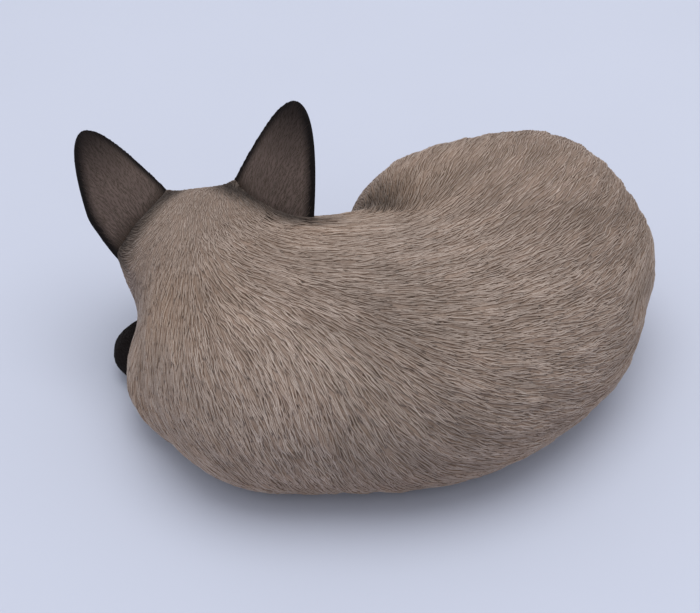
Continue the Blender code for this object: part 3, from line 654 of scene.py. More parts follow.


# Coat tone and painted light and shade: spot on the drawing, radius, and how much lighter or darker
toneLightAndShade = [
    ((-30, -98, 102), 34, 0.14),                  # paler on the shoulder's top: painted light
    ((20, 40, 97), 19, -0.68),                    # painted shade in the hollow between back and thigh
    # more painted shade round that hollow
    ((32, 23, 105), 13, -0.30),
    ((46, 38, 108), 18, -0.12),
    ((35, 13, 108), 17, -0.15),
    ((60, -115, 60), 45, -0.13),
    ((15, -75, 112), 42, -0.19),
    ((150, -15, 105), 45, -0.08),
    ((95, 95, 105), 42, -0.16),                   # painted shade on the far side of the haunch
    # painted shade on the far side of the rump
    ((172, 45, 85), 45, -0.16),
    ((-72, -42, 104), 20, -0.07),                 # painted shade in the dip between nape and shoulder
    # painted shade at the rump's end
    ((178, -25, 55), 36, -0.10),
    # painted shade low on the flank, where the body turns under
    ((40, -120, 40), 60, -0.06),
    ((120, -80, 25), 50, -0.10),                  # painted shade low on the flank
]
warmSpots = [                                     # browner paint, and warm painted shade
    # the spots at (24, 30, 100) in the hollow and (-70, -60, 105) by the nape are warm painted shade
    ((-100, -45, 85), 26, 0.9), ((24, 30, 100), 30, 0.9), ((-20, -5, 114), 34, 0.55),
    ((60, 60, 118), 60, 0.35), ((160, 30, 90), 50, 0.30), ((-70, -60, 105), 26, 0.35),
]
ears = {
    "height": 63.0, "width": 57.0, "cup": 8.5, "root": 0.6, "rootNarrow": 0.35, "thickness": 3.6,
    "place": {1: (39.2, -4.3, 27.6), -1: (-36.9, -2.2, 28.9)},   # in the head's frame; 1 is the right ear
    "turn": {1: (-14.0, 25.2, 22.4), -1: (-22.1, 29.8, 37.5)},   # lean, splay, turn
    "tuck": {1: 0.0, -1: 0.15}, "tuckFrom": (0.70, 1.05),     # the outer edge draws in towards the root
    "rootLine": {1: -9.0, -1: -7.0},              # where the head's fur ends, up the ear
    "rootInner": {1: 16.0, -1: 14.0},
    "rootOuter": {1: -6.0, -1: -8.0},
    "rootCurve": 1.5,
    "fadeOuter": {1: 7.0, -1: -1.5},              # the dark fade below it reaches further out there
    # the fade is the seal points' colour and painted shade in the crease at the ear's root
    "fade": (20, 6), "fadeSealAndShade": 0.28, "fadeBehind": 0.60,
    "rootThickness": 2.4, "rootThickest": 9.0, "rootSpread": 0.26, "rootSoftness": 5.0, "rootDepth": 40.0,
    "hollowThinner": 2.0,                         # the root is thinner on the hollow side
    "rootTucked": 2.0, "rootFlat": 0.9, "rootAcross": 1.2, "rootEdge": 1.0, "rootNear": 30,
}


def spots(points, table, start):
    total = np.full(len(points), float(start))
    for centre, radius, amount in table:
        away = np.linalg.norm(points - np.array(centre, float), axis=-1)
        total += amount * np.exp(-(away / radius) ** 2)
    return total


def earPlace(side):
    lean, splay, turn = (radians(a) for a in ears["turn"][side])
    return (headPlace @ Matrix.Translation(Vector(ears["place"][side]))
            @ Matrix.Rotation(side * splay, 4, "Y") @ Matrix.Rotation(lean, 4, "X")
            @ Matrix.Rotation(-side * turn, 4, "Z"))


def earHalf(down):
    leaf = ears["width"] / 2 * np.sqrt(np.clip(down, 0, 1))
    root = ears["width"] / 2 * (1 - ears["rootNarrow"] * (np.maximum(down - 1, 0) / ears["root"]) ** 2)
    return np.where(down <= 1, leaf, root)


def earPoints(side, across, down):
    tuck = ears["tuck"][side] * smoothStep(*ears["tuckFrom"], down)
    half = earHalf(down) * np.where(across > 0, 1 - tuck, 1)
    local = np.stack([side * across * half, ears["cup"] * across ** 2 * half / (ears["width"] / 2),
                      (1 - down) * ears["height"]], -1)
    return placed(np.array(earPlace(side)), local)


def earLine(side, across):
    inner, outer = (np.maximum(way * side * across, 0) ** ears["rootCurve"] for way in (-1, 1))
    return ears["rootLine"][side] + ears["rootInner"][side] * inner + ears["rootOuter"][side] * outer


def earRoot(points, side):
    local = placed(np.array(earPlace(side).inverted()), points)
    x, y, z = local[..., 0], local[..., 1], local[..., 2]
    half = earHalf(np.clip(1 - z / ears["height"], 0, 1 + ears["root"]))
    across = np.clip(x / half, -ears["rootAcross"], ears["rootAcross"])
    line = earLine(side, across)
    thick = np.clip(ears["rootThickness"] + ears["rootSpread"] * (line - z), ears["rootThickness"],
                    ears["rootThickest"])
    off = y - ears["cup"] * across ** 2 * half * 2 / ears["width"]
    slab = np.abs(off) * ears["rootFlat"] - np.where(off > 0, thick - ears["hollowThinner"], thick)
    tucked = half * np.where(side * x > 0, 1 - ears["tuck"][side], 1)
    sides = [slab, np.abs(x) - tucked + ears["rootTucked"], z - line, -ears["rootDepth"] - z]
    return -blended([-d for d in sides], ears["rootEdge"])


def headForm(points):
    body = wholeDistance(points)
    near = np.abs(headDistance(points)) < ears["rootNear"]
    spot = points[near]
    roots = blended([earRoot(spot, 1), earRoot(spot, -1)], ears["rootEdge"])
    body[near] = blended([body[near], roots], ears["rootSoftness"])
    return body


furSizes = {                                      # on the body, and what comes off on the head and face
    "length": (15.0, 8.8, 2.9), "width": (1.75, 0.85, 0.15), "height": (0.62, 0.24, 0.14),
    "longer": [((-20, -95, 95), 45, 2.5), ((118, 35, 112), 62, -5.5), ((40, 40, 110), 22, -1.5)],
    "wider": [((118, 35, 112), 62, -0.35)],
    "headFade": (-4, 30), "faceFade": (12, 48),
    "shortest": 1.5, "slack": 1.35, "flattest": 0.05,         # locks end above the ground
    "offGround": (2.0, 4.0),
    "headShare": (0.25, 0.5), "headReach": 26,    # where the head's finer locks take over
}
coatTones = {                                     # amount, and from where to where it grows
    # the low rows are painted light from the floor: paler and warmer near the ground
    "headDarker": 0.10, "paintedBounceLight": (0.10, 60, 10), "warm": 0.08, "paintedBounceWarmth": (0.9, 75, 15),
    "maskForward": (0.97, 14, 42), "maskUp": (30, 9), "behindEar": (12, 0),
}


def coatFields(mesh, points, normals, relief=None):
    local = inHead(points)
    nearHead = 1 - smoothStep(*furSizes["headFade"], headDistance(points))
    face = smoothStep(*furSizes["faceFade"], local[:, 1]) * nearHead
    length, width, height = (whole - onHead * nearHead - onFace * face for whole, onHead, onFace
                             in (furSizes[key] for key in ("length", "width", "height")))
    flow = furDirection(points, normals)
    length += spots(points, furSizes["longer"], 0)
    fall = (points[:, 2] - padProud) / np.maximum(-furSizes["slack"] * flow[:, 2], furSizes["flattest"])
    length = np.minimum(length, np.maximum(fall, furSizes["shortest"]))
    width += spots(points, furSizes["wider"], 0)
    shade = spots(points, toneLightAndShade, 1.0) - coatTones["headDarker"] * nearHead
    # painted light: paler near the ground
    shade += grown(coatTones["paintedBounceLight"], points[:, 2])
    if relief is not None:
        shade = shade + mainLocks["grooveShade"] * relief
    # painted light: warmer near the ground
    warm = spots(points, warmSpots, coatTones["warm"]) + grown(coatTones["paintedBounceWarmth"], points[:, 2])
    seal = grown(coatTones["maskForward"], local[:, 1])
    seal = seal * smoothStep(*coatTones["maskUp"], local[:, 2]) * nearHead
    for side in (1, -1):                          # seal fade and painted shade where the fur ends, up the ears
        line = np.linspace(-1, 1, 21)
        root = earPoints(side, line, 1 - earLine(side, side * line) / ears["height"])
        away = np.linalg.norm(points[:, None] - root[None], axis=-1)
        away = away.min(1) - ears["fadeOuter"][side] * np.maximum(line[away.argmin(1)], 0)
        # deepest behind the ear, in the crease at its root: painted shade
        behind = placed(np.array(earPlace(side).inverted()), points)[:, 1]
        behind = smoothStep(*coatTones["behindEar"], behind)
        deep = ears["fadeSealAndShade"] + ears["fadeBehind"] * behind
        seal = np.maximum(seal, deep * smoothStep(*ears["fade"], away))
    store(mesh, flow=flow, skinNormal=normals, lockLength=length * mm, lockWidth=width * mm,
          lockHeight=height * mm, shade=shade, warm=np.clip(warm, 0, 1), seal=np.clip(seal, 0, 1))
    return nearHead


# One lock of moulded fur, unit size: a pointed ridge that starts under its neighbours and climbs to its tip
lockShape = {
    "stations": [0.14, 0.36, 0.60, 0.82],
    "widths": [0.75, 1.0, 0.9, 0.55],
    "heights": [-0.2, 0.35, 0.75, 1.0, 0.95, 0.5],
    "bends": [-0.16, -0.05, 0.06, 0.15],
    "foot": (0.35, -0.42),                        # the sides' feet: share of the crest's height, and a drop
    "bendBack": 0.6, "rootCrest": 0.3, "tipCrest": 0.9,
    "points": 14, "faces": 15,
    "lengthSpread": 0.3, "liftSpread": (0.55, 1.25), "widthSpread": (0.75, 1.25),
    "crowd": 1.6, "ripple": 130.0,                # roots tried per spacing squared; noise, per metre
}


def lockVariants():
    shelf = bpy.data.collections.new("lockShapes")
    rise = lockShape["heights"]
    for number, bend in enumerate(lockShape["bends"]):
        points, crest = [(0, 0, rise[0])], [lockShape["rootCrest"]]
        for at, width, height in zip(lockShape["stations"], lockShape["widths"], rise[1:]):
            side = bend * sin(pi * at) - bend * lockShape["bendBack"] * at
            foot = height * lockShape["foot"][0] + lockShape["foot"][1]
            points += [(at, side - width / 2, foot), (at, side, height), (at, side + width / 2, foot)]
            crest += [0.0, 1.0, 0.0]
        points.append((1, -bend * lockShape["bendBack"], rise[5]))
        crest.append(lockShape["tipCrest"])
        faces = [(0, 1, 2), (0, 2, 3), (0, 3, 1)]
        for first in (1, 4, 7):
            for a, b in ((0, 1), (1, 2), (2, 0)):
                faces.append((first + a, first + 3 + a, first + 3 + b, first + b))
        faces += [(13, 11, 10), (13, 12, 11), (13, 10, 12)]
        mesh = meshOf(f"lock{number}", points, faces)
        store(mesh, rise=[p[2] for p in points], along=[p[0] for p in points], ridge=crest)
        shelf.objects.link(bpy.data.objects.new(mesh.name, mesh))
    return shelf


lockShelf = lockVariants()


def furTree():
    tree = bpy.data.node_groups.new("furLocks", "GeometryNodeTree")
    for name, kind in (("Geometry", "Geometry"), ("Skin", "Object"), ("Lock Shapes", "Collection"),
                       ("Spacing", "Float"), ("Size Spread", "Float"), ("Swing", "Float"), ("Wave", "Float"),
                       ("Seed", "Int"), ("Paint", "Material")):
        tree.interface.new_socket(name, in_out="INPUT", socket_type=f"NodeSocket{kind}")
    tree.interface.new_socket("Geometry", in_out="OUTPUT", socket_type="NodeSocketGeometry")
    given = addNode(tree, "NodeGroupInput").outputs

    def named(name, kind="FLOAT"):
        return addNode(tree, "GeometryNodeInputNamedAttribute", {"Name": name}, data_type=kind).outputs[0]

    def spread(low, high, offset):
        seed = maths(tree, "ADD", given["Seed"], offset)
        return addNode(tree, "FunctionNodeRandomValue", {2: low, 3: high, "Seed": seed}).outputs[1]

    def vector(operation, *values, **scale):
        inputs = {**dict(enumerate(values)), **scale}
        return addNode(tree, "ShaderNodeVectorMath", inputs, operation=operation).outputs[0]

    def here():
        return addNode(tree, "GeometryNodeInputPosition").outputs[0]

    def nearestOn(mesh, value, spot):
        return addNode(tree, "GeometryNodeSampleNearestSurface",
                       {"Mesh": mesh, "Value": value, "Sample Position": spot},
                       data_type="FLOAT_VECTOR").outputs[0]

    # Roots over the skin, each lock turned to the fur's direction
    crowd = maths(tree, "DIVIDE", lockShape["crowd"], times(tree, given["Spacing"], given["Spacing"]))
    made = addNode(tree, "GeometryNodeDistributePointsOnFaces",
                   {"Mesh": given["Geometry"], "Distance Min": given["Spacing"], "Density Max": crowd,
                    "Density Factor": named("cover"), "Seed": given["Seed"]},
                   distribute_method="POISSON").outputs["Points"]
    normal = named("skinNormal", "FLOAT_VECTOR")
    aim = addNode(tree, "FunctionNodeAxesToRotation", {0: normal, 1: named("flow", "FLOAT_VECTOR")},
                  primary_axis="Z", secondary_axis="X").outputs[0]
    swing = times(tree, given["Swing"], spread(-1, 1, 11))
    swing = addNode(tree, "FunctionNodeAxisAngleToRotation", {"Axis": (0, 0, 1), "Angle": swing}).outputs[0]
    aim = addNode(tree, "FunctionNodeRotateRotation", {0: aim, 1: swing}, rotation_space="LOCAL").outputs[0]
    low = maths(tree, "SUBTRACT", 1.0, given["Size Spread"])
    high = maths(tree, "ADD", 1.0, given["Size Spread"])
    lift = times(tree, named("lockHeight"), spread(*lockShape["liftSpread"], 12))
    long = times(tree, named("lockLength"), spread(low, high, 13))
    wide = times(tree, named("lockWidth"), spread(*lockShape["widthSpread"], 14))
    size = addNode(tree, "ShaderNodeCombineXYZ", {0: long, 1: wide, 2: lift}).outputs[0]
    for name, value, kind in (("rootNormal", normal, "FLOAT_VECTOR"), ("lift", lift, "FLOAT"),
                              ("tone", spread(0, 1, 15), "FLOAT")):
        made = addNode(tree, "GeometryNodeStoreNamedAttribute",
                       {"Geometry": made, "Name": name, "Value": value},
                       data_type=kind, domain="POINT").outputs[0]
    shapes = addNode(tree, "GeometryNodeCollectionInfo",
                     {"Collection": given["Lock Shapes"], "Separate Children": True}).outputs[0]
    pick = addNode(tree, "FunctionNodeRandomValue",
                   {4: 0, 5: len(lockShape["bends"]) - 1, "Seed": maths(tree, "ADD", given["Seed"], 16)},
                   data_type="INT").outputs[2]
    locks = addNode(tree, "GeometryNodeInstanceOnPoints",
                    {"Points": made, "Instance": shapes, "Pick Instance": True, "Instance Index": pick,
                     "Rotation": aim, "Scale": size}).outputs[0]
    locks = addNode(tree, "GeometryNodeRealizeInstances", {0: locks}).outputs[0]

    # Lay each lock down on the skin: its foot point follows the surface, its height stays
    spot = here()
    proud = times(tree, named("rise"), named("lift"))
    foot = vector("SUBTRACT", spot, vector("SCALE", named("rootNormal", "FLOAT_VECTOR"), Scale=proud))
    ripple = addNode(tree, "ShaderNodeTexNoise",
                     {"Vector": spot, "Scale": lockShape["ripple"], "Detail": 1.0}).outputs["Color"]
    ripple = vector("SCALE", vector("SUBTRACT", ripple, (0.5, 0.5, 0.5)), Scale=given["Wave"])
    foot = vector("ADD", foot, ripple)
    skin = addNode(tree, "GeometryNodeObjectInfo", {"Object": given["Skin"]},
                   transform_space="ORIGINAL").outputs["Geometry"]
    onSkin = nearestOn(skin, here(), foot)
    outward = vector("NORMALIZE", nearestOn(skin, normal, foot))
    place = vector("ADD", onSkin, vector("SCALE", outward, Scale=proud))
    locks = addNode(tree, "GeometryNodeSetPosition", {"Geometry": locks, "Position": place}).outputs[0]
    locks = addNode(tree, "GeometryNodeSetShadeSmooth", {"Geometry": locks}).outputs[0]
    locks = addNode(tree, "GeometryNodeSetMaterial",
                    {"Geometry": locks, "Material": given["Paint"]}).outputs[0]
    addNode(tree, "NodeGroupOutput", {0: locks})
    return tree


furLocks = furTree()
lockFields = ("shade", "seal", "warm", "ridge", "along", "tone")

furKinds = {                                      # how far apart the locks stand, turn and waver
    "body": {"spacing": 1.85, "swing": 0.20, "wave": 2.0},
    "head": {"spacing": 1.1, "swing": 0.29, "wave": 0.8},
    "ear": {"spacing": 1.35, "swing": 0.25, "wave": 0.25},
    "tail": {"spacing": 1.7, "swing": 0.22, "wave": 0.6},
    "paw": {"spacing": 1.35, "swing": 0.22, "wave": 0.3},
}
shortFur = {                                      # length, width and height of a lock
    "ear": (3.6, 0.75, 0.24), "tail": (9.5, 1.9, 0.7), "paw": (5.5, 1.1, 0.28),
}


def growFur(name, skin, kind, seed):
    ground = addPiece(name + "Skin", skin, None, workshop)
    field = addPiece(name, skin.copy(), None, workshop)
    modifier = field.modifiers.new("fur", "NODES")
    modifier.node_group = furLocks
    sizes = furKinds[kind]
    values = {"Skin": ground, "Lock Shapes": lockShelf, "Spacing": sizes["spacing"] * mm,
              "Wave": sizes["wave"] * mm, "Swing": sizes["swing"], "Size Spread": lockShape["lengthSpread"],
              "Seed": seed, "Paint": lockPaint}
    for item in furLocks.interface.items_tree:
        if item.in_out == "INPUT" and item.name in values:
            modifier[item.identifier] = values[item.name]
    field.update_tag()
    bpy.context.view_layer.update()
    made = frozen(field, name)
    bpy.data.objects.remove(ground)
    points = readVectors(made.vertices)
    points[:, 2] = np.maximum(points[:, 2], padProud * mm)
    writePoints(made, points)
    return made


def lockCount(mesh):
    return len(mesh.vertices) // lockShape["points"]


def cutFur(whole, chosen, name, paint):
    total, perLock = lockCount(whole), lockShape["points"]
    keep = np.flatnonzero(chosen)
    points = readVectors(whole.vertices).reshape(total, perLock, 3)[keep].reshape(-1, 3)
    sizes = np.empty(len(whole.polygons), np.int32)
    whole.polygons.foreach_get("loop_total", sizes)
    sizes = sizes.reshape(total, lockShape["faces"])[keep].ravel()
    corners = np.empty(len(whole.loops), np.int32)
    whole.loops.foreach_get("vertex_index", corners)
    corners = corners.reshape(total, -1)[keep]
    corners = corners - keep[:, None] * perLock + np.arange(len(keep))[:, None] * perLock
    mesh = bpy.data.meshes.new(name)
    mesh.vertices.add(len(points))
    mesh.loops.add(corners.size)
    mesh.polygons.add(len(sizes))
    mesh.vertices.foreach_set("co", points.astype(np.float32).ravel())
    mesh.loops.foreach_set("vertex_index", corners.astype(np.int32).ravel())
    mesh.polygons.foreach_set("loop_start", np.concatenate([[0], np.cumsum(sizes)[:-1]]).astype(np.int32))
    mesh.polygons.foreach_set("use_smooth", np.ones(len(sizes), bool))
    mesh.update(calc_edges=True)
    for field in lockFields:
        store(mesh, **{field: readField(whole, field).reshape(total, perLock)[keep].ravel()})
    mesh.materials.append(paint)
    mesh.validate()
    return mesh


def closeInward(mesh, depth, steps=2):
    with reshaping(mesh) as work:
        for _ in range(steps):
            for point in drawnOut(work, openEdges(work)):
                inward = unit(gradient(wholeDistance, fromFrame(np.array(point.co)[None])))[0]
                point.co -= Vector(inward) * depth * mm / steps
        capped(work, openEdges(work))
        bmesh.ops.recalc_face_normals(work, faces=work.faces)


print("netting the skin")
netPoints, netFaces = netSkin(wholeDistance, torso["netLow"], torso["netHigh"], torso["netStep"])
netNormals = unit(gradient(wholeDistance, netPoints))
roots = mainRoots(netPoints, netNormals)
netPoints, netFaces = quartered(netPoints, netFaces)
netPoints = settle(wholeDistance, netPoints, 1.5, rounds=2)
netNormals = unit(gradient(wholeDistance, netPoints))
relief = mainRelief(netPoints, roots)
print("skin:", len(netPoints), "points,", len(roots[0]), "main locks")


def trimmed(faces):
    used, remade = np.unique(faces, return_inverse=True)
    return used, remade.reshape(faces.shape)


def partOfSkin(keep, name):
    used, faces = trimmed(netFaces[keep])
    raised = netPoints + netNormals * (relief * mainLocks["height"])[:, None]
    mesh = meshOf(name, toFrame(raised[used]), faces)
    mesh.shade_smooth()
    return mesh, used


def underside(mesh):
    with reshaping(mesh) as work:
        bmesh.ops.bisect_plane(work, geom=[*work.verts, *work.edges, *work.faces], dist=1e-6,
                               plane_co=(0, 0, padProud * mm), plane_no=(0, 0, 1), clear_inner=True)

        def footRim():
            return [edge for edge in openEdges(work)
                    if max(v.co.z for v in edge.verts) < plateRecess["rimBelow"]
                    and abs(edge.verts[0].co.z - edge.verts[1].co.z) < plateRecess["rimLevel"]]

        for inward, upward in ((plateRecess["rim"], 0.0), (0.0, plateRecess["roof"] - padProud)):
            for point in drawnOut(work, footRim()):
                slope = gradient(wholeDistance, fromFrame(np.array(point.co)[None]))[0] * (1, 1, 0)
                point.co -= Vector(unit(slope)) * inward * mm
                point.co.z += upward * mm
        capped(work, footRim())


# The eyes: almond cabochons let into the head, and lids raised round them
eyes = {
    "place": (19.5, 20, 3),                       # in the head's frame
    "turn": (-20, 6, -14),                        # turn, tilt, slant
    "size": (11.2, 7.4), "almond": 0.72, "dome": 2.6, "domeRound": 0.85, "domePointed": 0.15,
    "depth": 3.4, "sunk": 1.2, "beyond": 22,
    "rings": 12, "around": 56,
    "lidHeight": 1.5, "lidWidth": 1.5, "lidAway": 1.0, "socket": 1.6, "socketEdge": (0.2, -0.9),
    "bare": (1.2, 2.6),                           # where the fur round the eye starts
    "iris": (0.045, 0.20, 0.56), "irisPale": (0.22, 0.46, 0.78), "pupil": (0.002, 0.002, 0.003),
    "streaks": (1.6, -0.35), "rim": (0.006, 0.012, 0.03), "rimEdge": (0.9, -5.0),
    "pupilShape": (2.6, 0.8), "pupilEdge": (-2.2, 7.6),
}


def eyePlace(side):
    turn, tilt, slant = (radians(a) for a in eyes["turn"])
    x, y, z = eyes["place"]
    place = (headPlace @ Matrix.Translation((side * x, y, z)) @ Matrix.Rotation(side * turn, 4, "Z")
             @ Matrix.Rotation(tilt, 4, "X") @ Matrix.Rotation(side * slant, 4, "Y"))
    outward = Vector(np.array(place)[:3, 1])
    spot = place.translation.copy()
    while wholeDistance(np.array(spot)[None])[0] < 0:
        spot += outward * 0.1
    place.translation = spot - outward * eyes["sunk"]
    return place


def almond(points, side):
    local = placed(np.array(eyePlace(side).inverted()), points)
    half, high = eyes["size"]
    share = np.clip(1 - (local[:, 0] / half) ** 2, 0, 1) ** eyes["almond"]
    beside = np.maximum(np.abs(local[:, 0]) - half, 0)
    above = np.abs(local[:, 2]) - high * share
    outside = np.where(beside > 0, np.hypot(beside, np.abs(local[:, 2])), above * (0.55 + 0.45 * share))
    return np.where(np.abs(local[:, 1]) < eyes["beyond"], outside, 99)


faceMarks = {                                     # in the head's frame
    "nose": ((0, 66.6, -9.2), (5.4, 4.4, 3.7)),
    "nostril": ((3.1, 70.6, -9.6), (1.25, 2.0, 0.85)),
    "philtrum": [(0, 71, -12.5, 0.9), (0, 70.6, -15.5, 0.9), (0, 70.0, -19.5, 0.9)],
    "mouth": [(0, 70.4, -19.5, 0.9), (5.5, 69.4, -22.2, 1.0), (11.5, 65.0, -22.6, 1.0),
              (17, 59.2, -20.5, 0.8)],
    "chin": ((0, 61.5, -27.5), (8, 6.5, 5.5)),
    "pad": ((6.4, 61.5, -15.8), (7.2, 7.6, 6.4)),
    "padSoftness": 1.6, "noseSoftness": 0.8, "grooveSoftness": 0.45, "nostrilSoftness": 0.35,
    "front": 42, "carved": 40,                    # how far ahead the face's own form starts
    "leather": 1.08,                              # its edge, as a share of the nose's half sizes
    "bare": ((0, 69, -10), (1, 0.8, 1.1), 5.5, 8),      # no fur round the nose: centre, stretch, fade
}


def carved(body, tool, softness):
    body, tool = np.clip(body, -20, 20), np.clip(tool, -20, 20)
    return softness * np.log(np.exp(body / softness) + np.exp(-tool / softness))


def faceDistance(points):
    local = inHead(points)
    mirrored = np.stack([np.abs(local[..., 0]), local[..., 1], local[..., 2]], -1)
    pad, chin, nose = (ballDistance(where, *faceMarks[key]) for key, where
                       in (("pad", mirrored), ("chin", local), ("nose", local)))
    body = blended([headForm(points), pad, chin], faceMarks["padSoftness"])
    body = blended([body, nose], faceMarks["noseSoftness"])
    near = local[:, 1] > faceMarks["carved"]
    tools = [(limbDistance(mirrored[near], faceMarks[key]), faceMarks["grooveSoftness"])
             for key in ("philtrum", "mouth")]
    tools.append((ballDistance(mirrored[near], *faceMarks["nostril"]), faceMarks["nostrilSoftness"]))
    for tool, softness in tools:
        body[near] = carved(body[near], tool, softness)
    return body


def modelFace(mesh):
    points = settle(headForm, fromFrame(readVectors(mesh.vertices)), 1.0, rounds=2)
    front = inHead(points)[:, 1] > faceMarks["front"]
    points[front] = settle(faceDistance, points[front], 1.2, rounds=6)
    normals = unit(gradient(headForm, points))
    normals[front] = unit(gradient(faceDistance, points[front]))
    for side in (1, -1):
        outside = almond(points, side)
        lid = eyes["lidHeight"] * np.exp(-((outside - eyes["lidAway"]) / eyes["lidWidth"]) ** 2)
        lid -= eyes["socket"] * smoothStep(*eyes["socketEdge"], outside)
        points = points + normals * lid[:, None]
    points = points + normals * (mainRelief(points, roots) * mainLocks["height"])[:, None]
    writePoints(mesh, toFrame(points))
    return points, normals


def declare(piece, node=None):
    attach(piece, "root")
    if node:
        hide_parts(node)


onHead = neckDistance(netPoints[netFaces].mean(1)) < 0
bodyMesh, bodyUsed = partOfSkin(~onHead, "coat_body")
coatFields(bodyMesh, netPoints[bodyUsed], netNormals[bodyUsed], relief[bodyUsed])
headNet = netSkin(headForm, head["netLow"], head["netHigh"], head["netStep"])
headCentres = headNet[0][headNet[1]].mean(1)


def fineSkin(keep, name):
    used, faces = trimmed(headNet[1][keep])
    points, quads = quartered(headNet[0][used], faces)
    mesh = meshOf(name, toFrame(points), quads)
    mesh.shade_smooth()
    return (mesh, *modelFace(mesh))


headMesh, headPoints, headNormals = fineSkin(neckDistance(headCentres) < 0, "coat_head")
coatFields(headMesh, headPoints, headNormals)
underside(bodyMesh)
rimTurn = 4.0                                     # the castings' open rims at the neck turn inward
for mesh, node in ((bodyMesh, "body_shell"), (headMesh, "head_shell")):
    closeInward(mesh, rimTurn)
    piece = addPiece(mesh.name, mesh, skinPaint)
    mesh.update()
    for field in ("flow", "skinNormal", "lockLength", "lockWidth", "lockHeight"):
        mesh.attributes.remove(mesh.attributes[field])
    declare(piece, node)


leather = {
    "dark": (0.010, 0.0075, 0.0075), "pale": (0.034, 0.024, 0.023), "roughness": 0.42,
    "pebbles": 1400, "strength": 0.6, "depth": 0.0003,
}


def leatherPaint():
    made, tree, shader, spot = newPaint("nose_leather", leather["roughness"])
    pebble = noise(tree, spot, leather["pebbles"], 3.0)
    colour = blendColour(tree, pebble, leather["dark"], leather["pale"])
    tree.links.new(colour, shader.inputs["Base Color"])
    bump(tree, shader, pebble, leather["strength"], leather["depth"])
    return made


# The bare nose leather is a second paint on the head
headMesh.materials.append(leatherPaint())
noseCentre, noseSizes = (np.array(v) for v in faceMarks["nose"])
for polygon in headMesh.polygons:
    local = inHead(fromFrame(np.array(polygon.center)[None]))[0]
    if np.linalg.norm((local - noseCentre) / (noseSizes * faceMarks["leather"])) < 1:
        polygon.material_index = 1
print("body and head skins made")


# Fur over the whole skin at once, then cut into pieces by where each lock is rooted
def placeFur(whole, regions):
    lockRoots = fromFrame(readVectors(whole.vertices)[::lockShape["points"]])
    centres = np.array(list(regions.values()), float)
    owner = np.linalg.norm(lockRoots[:, None] - centres[None], axis=-1).argmin(1)
    for number, name in enumerate(regions):
        mesh = cutFur(whole, owner == number, f"fur_{name}", lockPaint)
        declare(addPiece(mesh.name, mesh))
        print(" ", mesh.name, (owner == number).sum(), "locks")


def faceCover(points):
    bare = np.ones(len(points))
    for side in (1, -1):
        bare *= smoothStep(*eyes["bare"], almond(points, side))
    centre, stretch, low, high = faceMarks["bare"]
    bare *= smoothStep(low, high, np.linalg.norm((inHead(points) - centre) * stretch, axis=-1))
    return bare


furRegions = {                                    # centre of each patch on the drawing
    "nape": (-65, -25, 100), "shoulder": (-45, -100, 80), "chest": (-80, 20, 40), "back": (20, -80, 105),
    "flank": (60, -115, 45), "hollow": (20, 20, 100), "haunch": (100, 20, 128), "rump": (165, -20, 70),
    "thigh": (110, 105, 70), "chestSide": (-110, -60, 40), "knee": (20, 80, 50),
}
headRegions = {"crown": (0, -5, 40), "face": (0, 60, -8), "cheeks": (0, 10, -30), "head_back": (0, -40, 10)}
headRegions = {name: fromHead(np.array(spot, float)) for name, spot in headRegions.items()}

furMesh, _ = partOfSkin(np.ones(len(netFaces), bool), "furSkin")
nearHead = coatFields(furMesh, netPoints, netNormals, relief)
cover = smoothStep(*furSizes["offGround"], netPoints[:, 2])
store(furMesh, cover=cover * (1 - smoothStep(*furSizes["headShare"], nearHead)))
bodyFur = growFur("bodyFur", furMesh, "body", 5)
print("body fur:", lockCount(bodyFur), "locks")
placeFur(bodyFur, furRegions)

haired = headDistance(headCentres) < furSizes["headReach"]
headFurSkin, headFurPoints, headFurNormals = fineSkin(haired, "headFurSkin")
nearHead = coatFields(headFurSkin, headFurPoints, headFurNormals)
store(headFurSkin, cover=smoothStep(*furSizes["headShare"], nearHead) * faceCover(headFurPoints))
headFur = growFur("headFur", headFurSkin, "head", 9)
print("head fur:", lockCount(headFur), "locks")
placeFur(headFur, headRegions)


def finished(mesh, name, node, paint):
    mesh.shade_smooth()
    declare(addPiece(name, mesh, paint), node)


def furOn(mesh, name, kind, seed):
    locks = growFur(name, mesh, kind, seed)
    made = cutFur(locks, np.ones(lockCount(locks), bool), name, sealLockPaint)
    declare(addPiece(name, made))
    print(" ", name, lockCount(locks), "locks")


# Ears: thin cupped leaves, closed, with a round rim and fine short hair
earFields = ("edge", "tipward", "across", "inner", "above")
earLeaf = {
    "columns": 41, "rows": 41, "rootRows": 13, "tip": 0.0004,
    "edgeRound": 5, "tipRound": 3.0, "thinnest": 0.05,
    "rim": 0.7, "rimIn": 1.6, "rimWidth": 1.2, "rimFromTip": 8, "rimInside": 0.4,   # the thicker rim
    "weld": 2e-5, "sliver": 1e-6,                 # metres
}


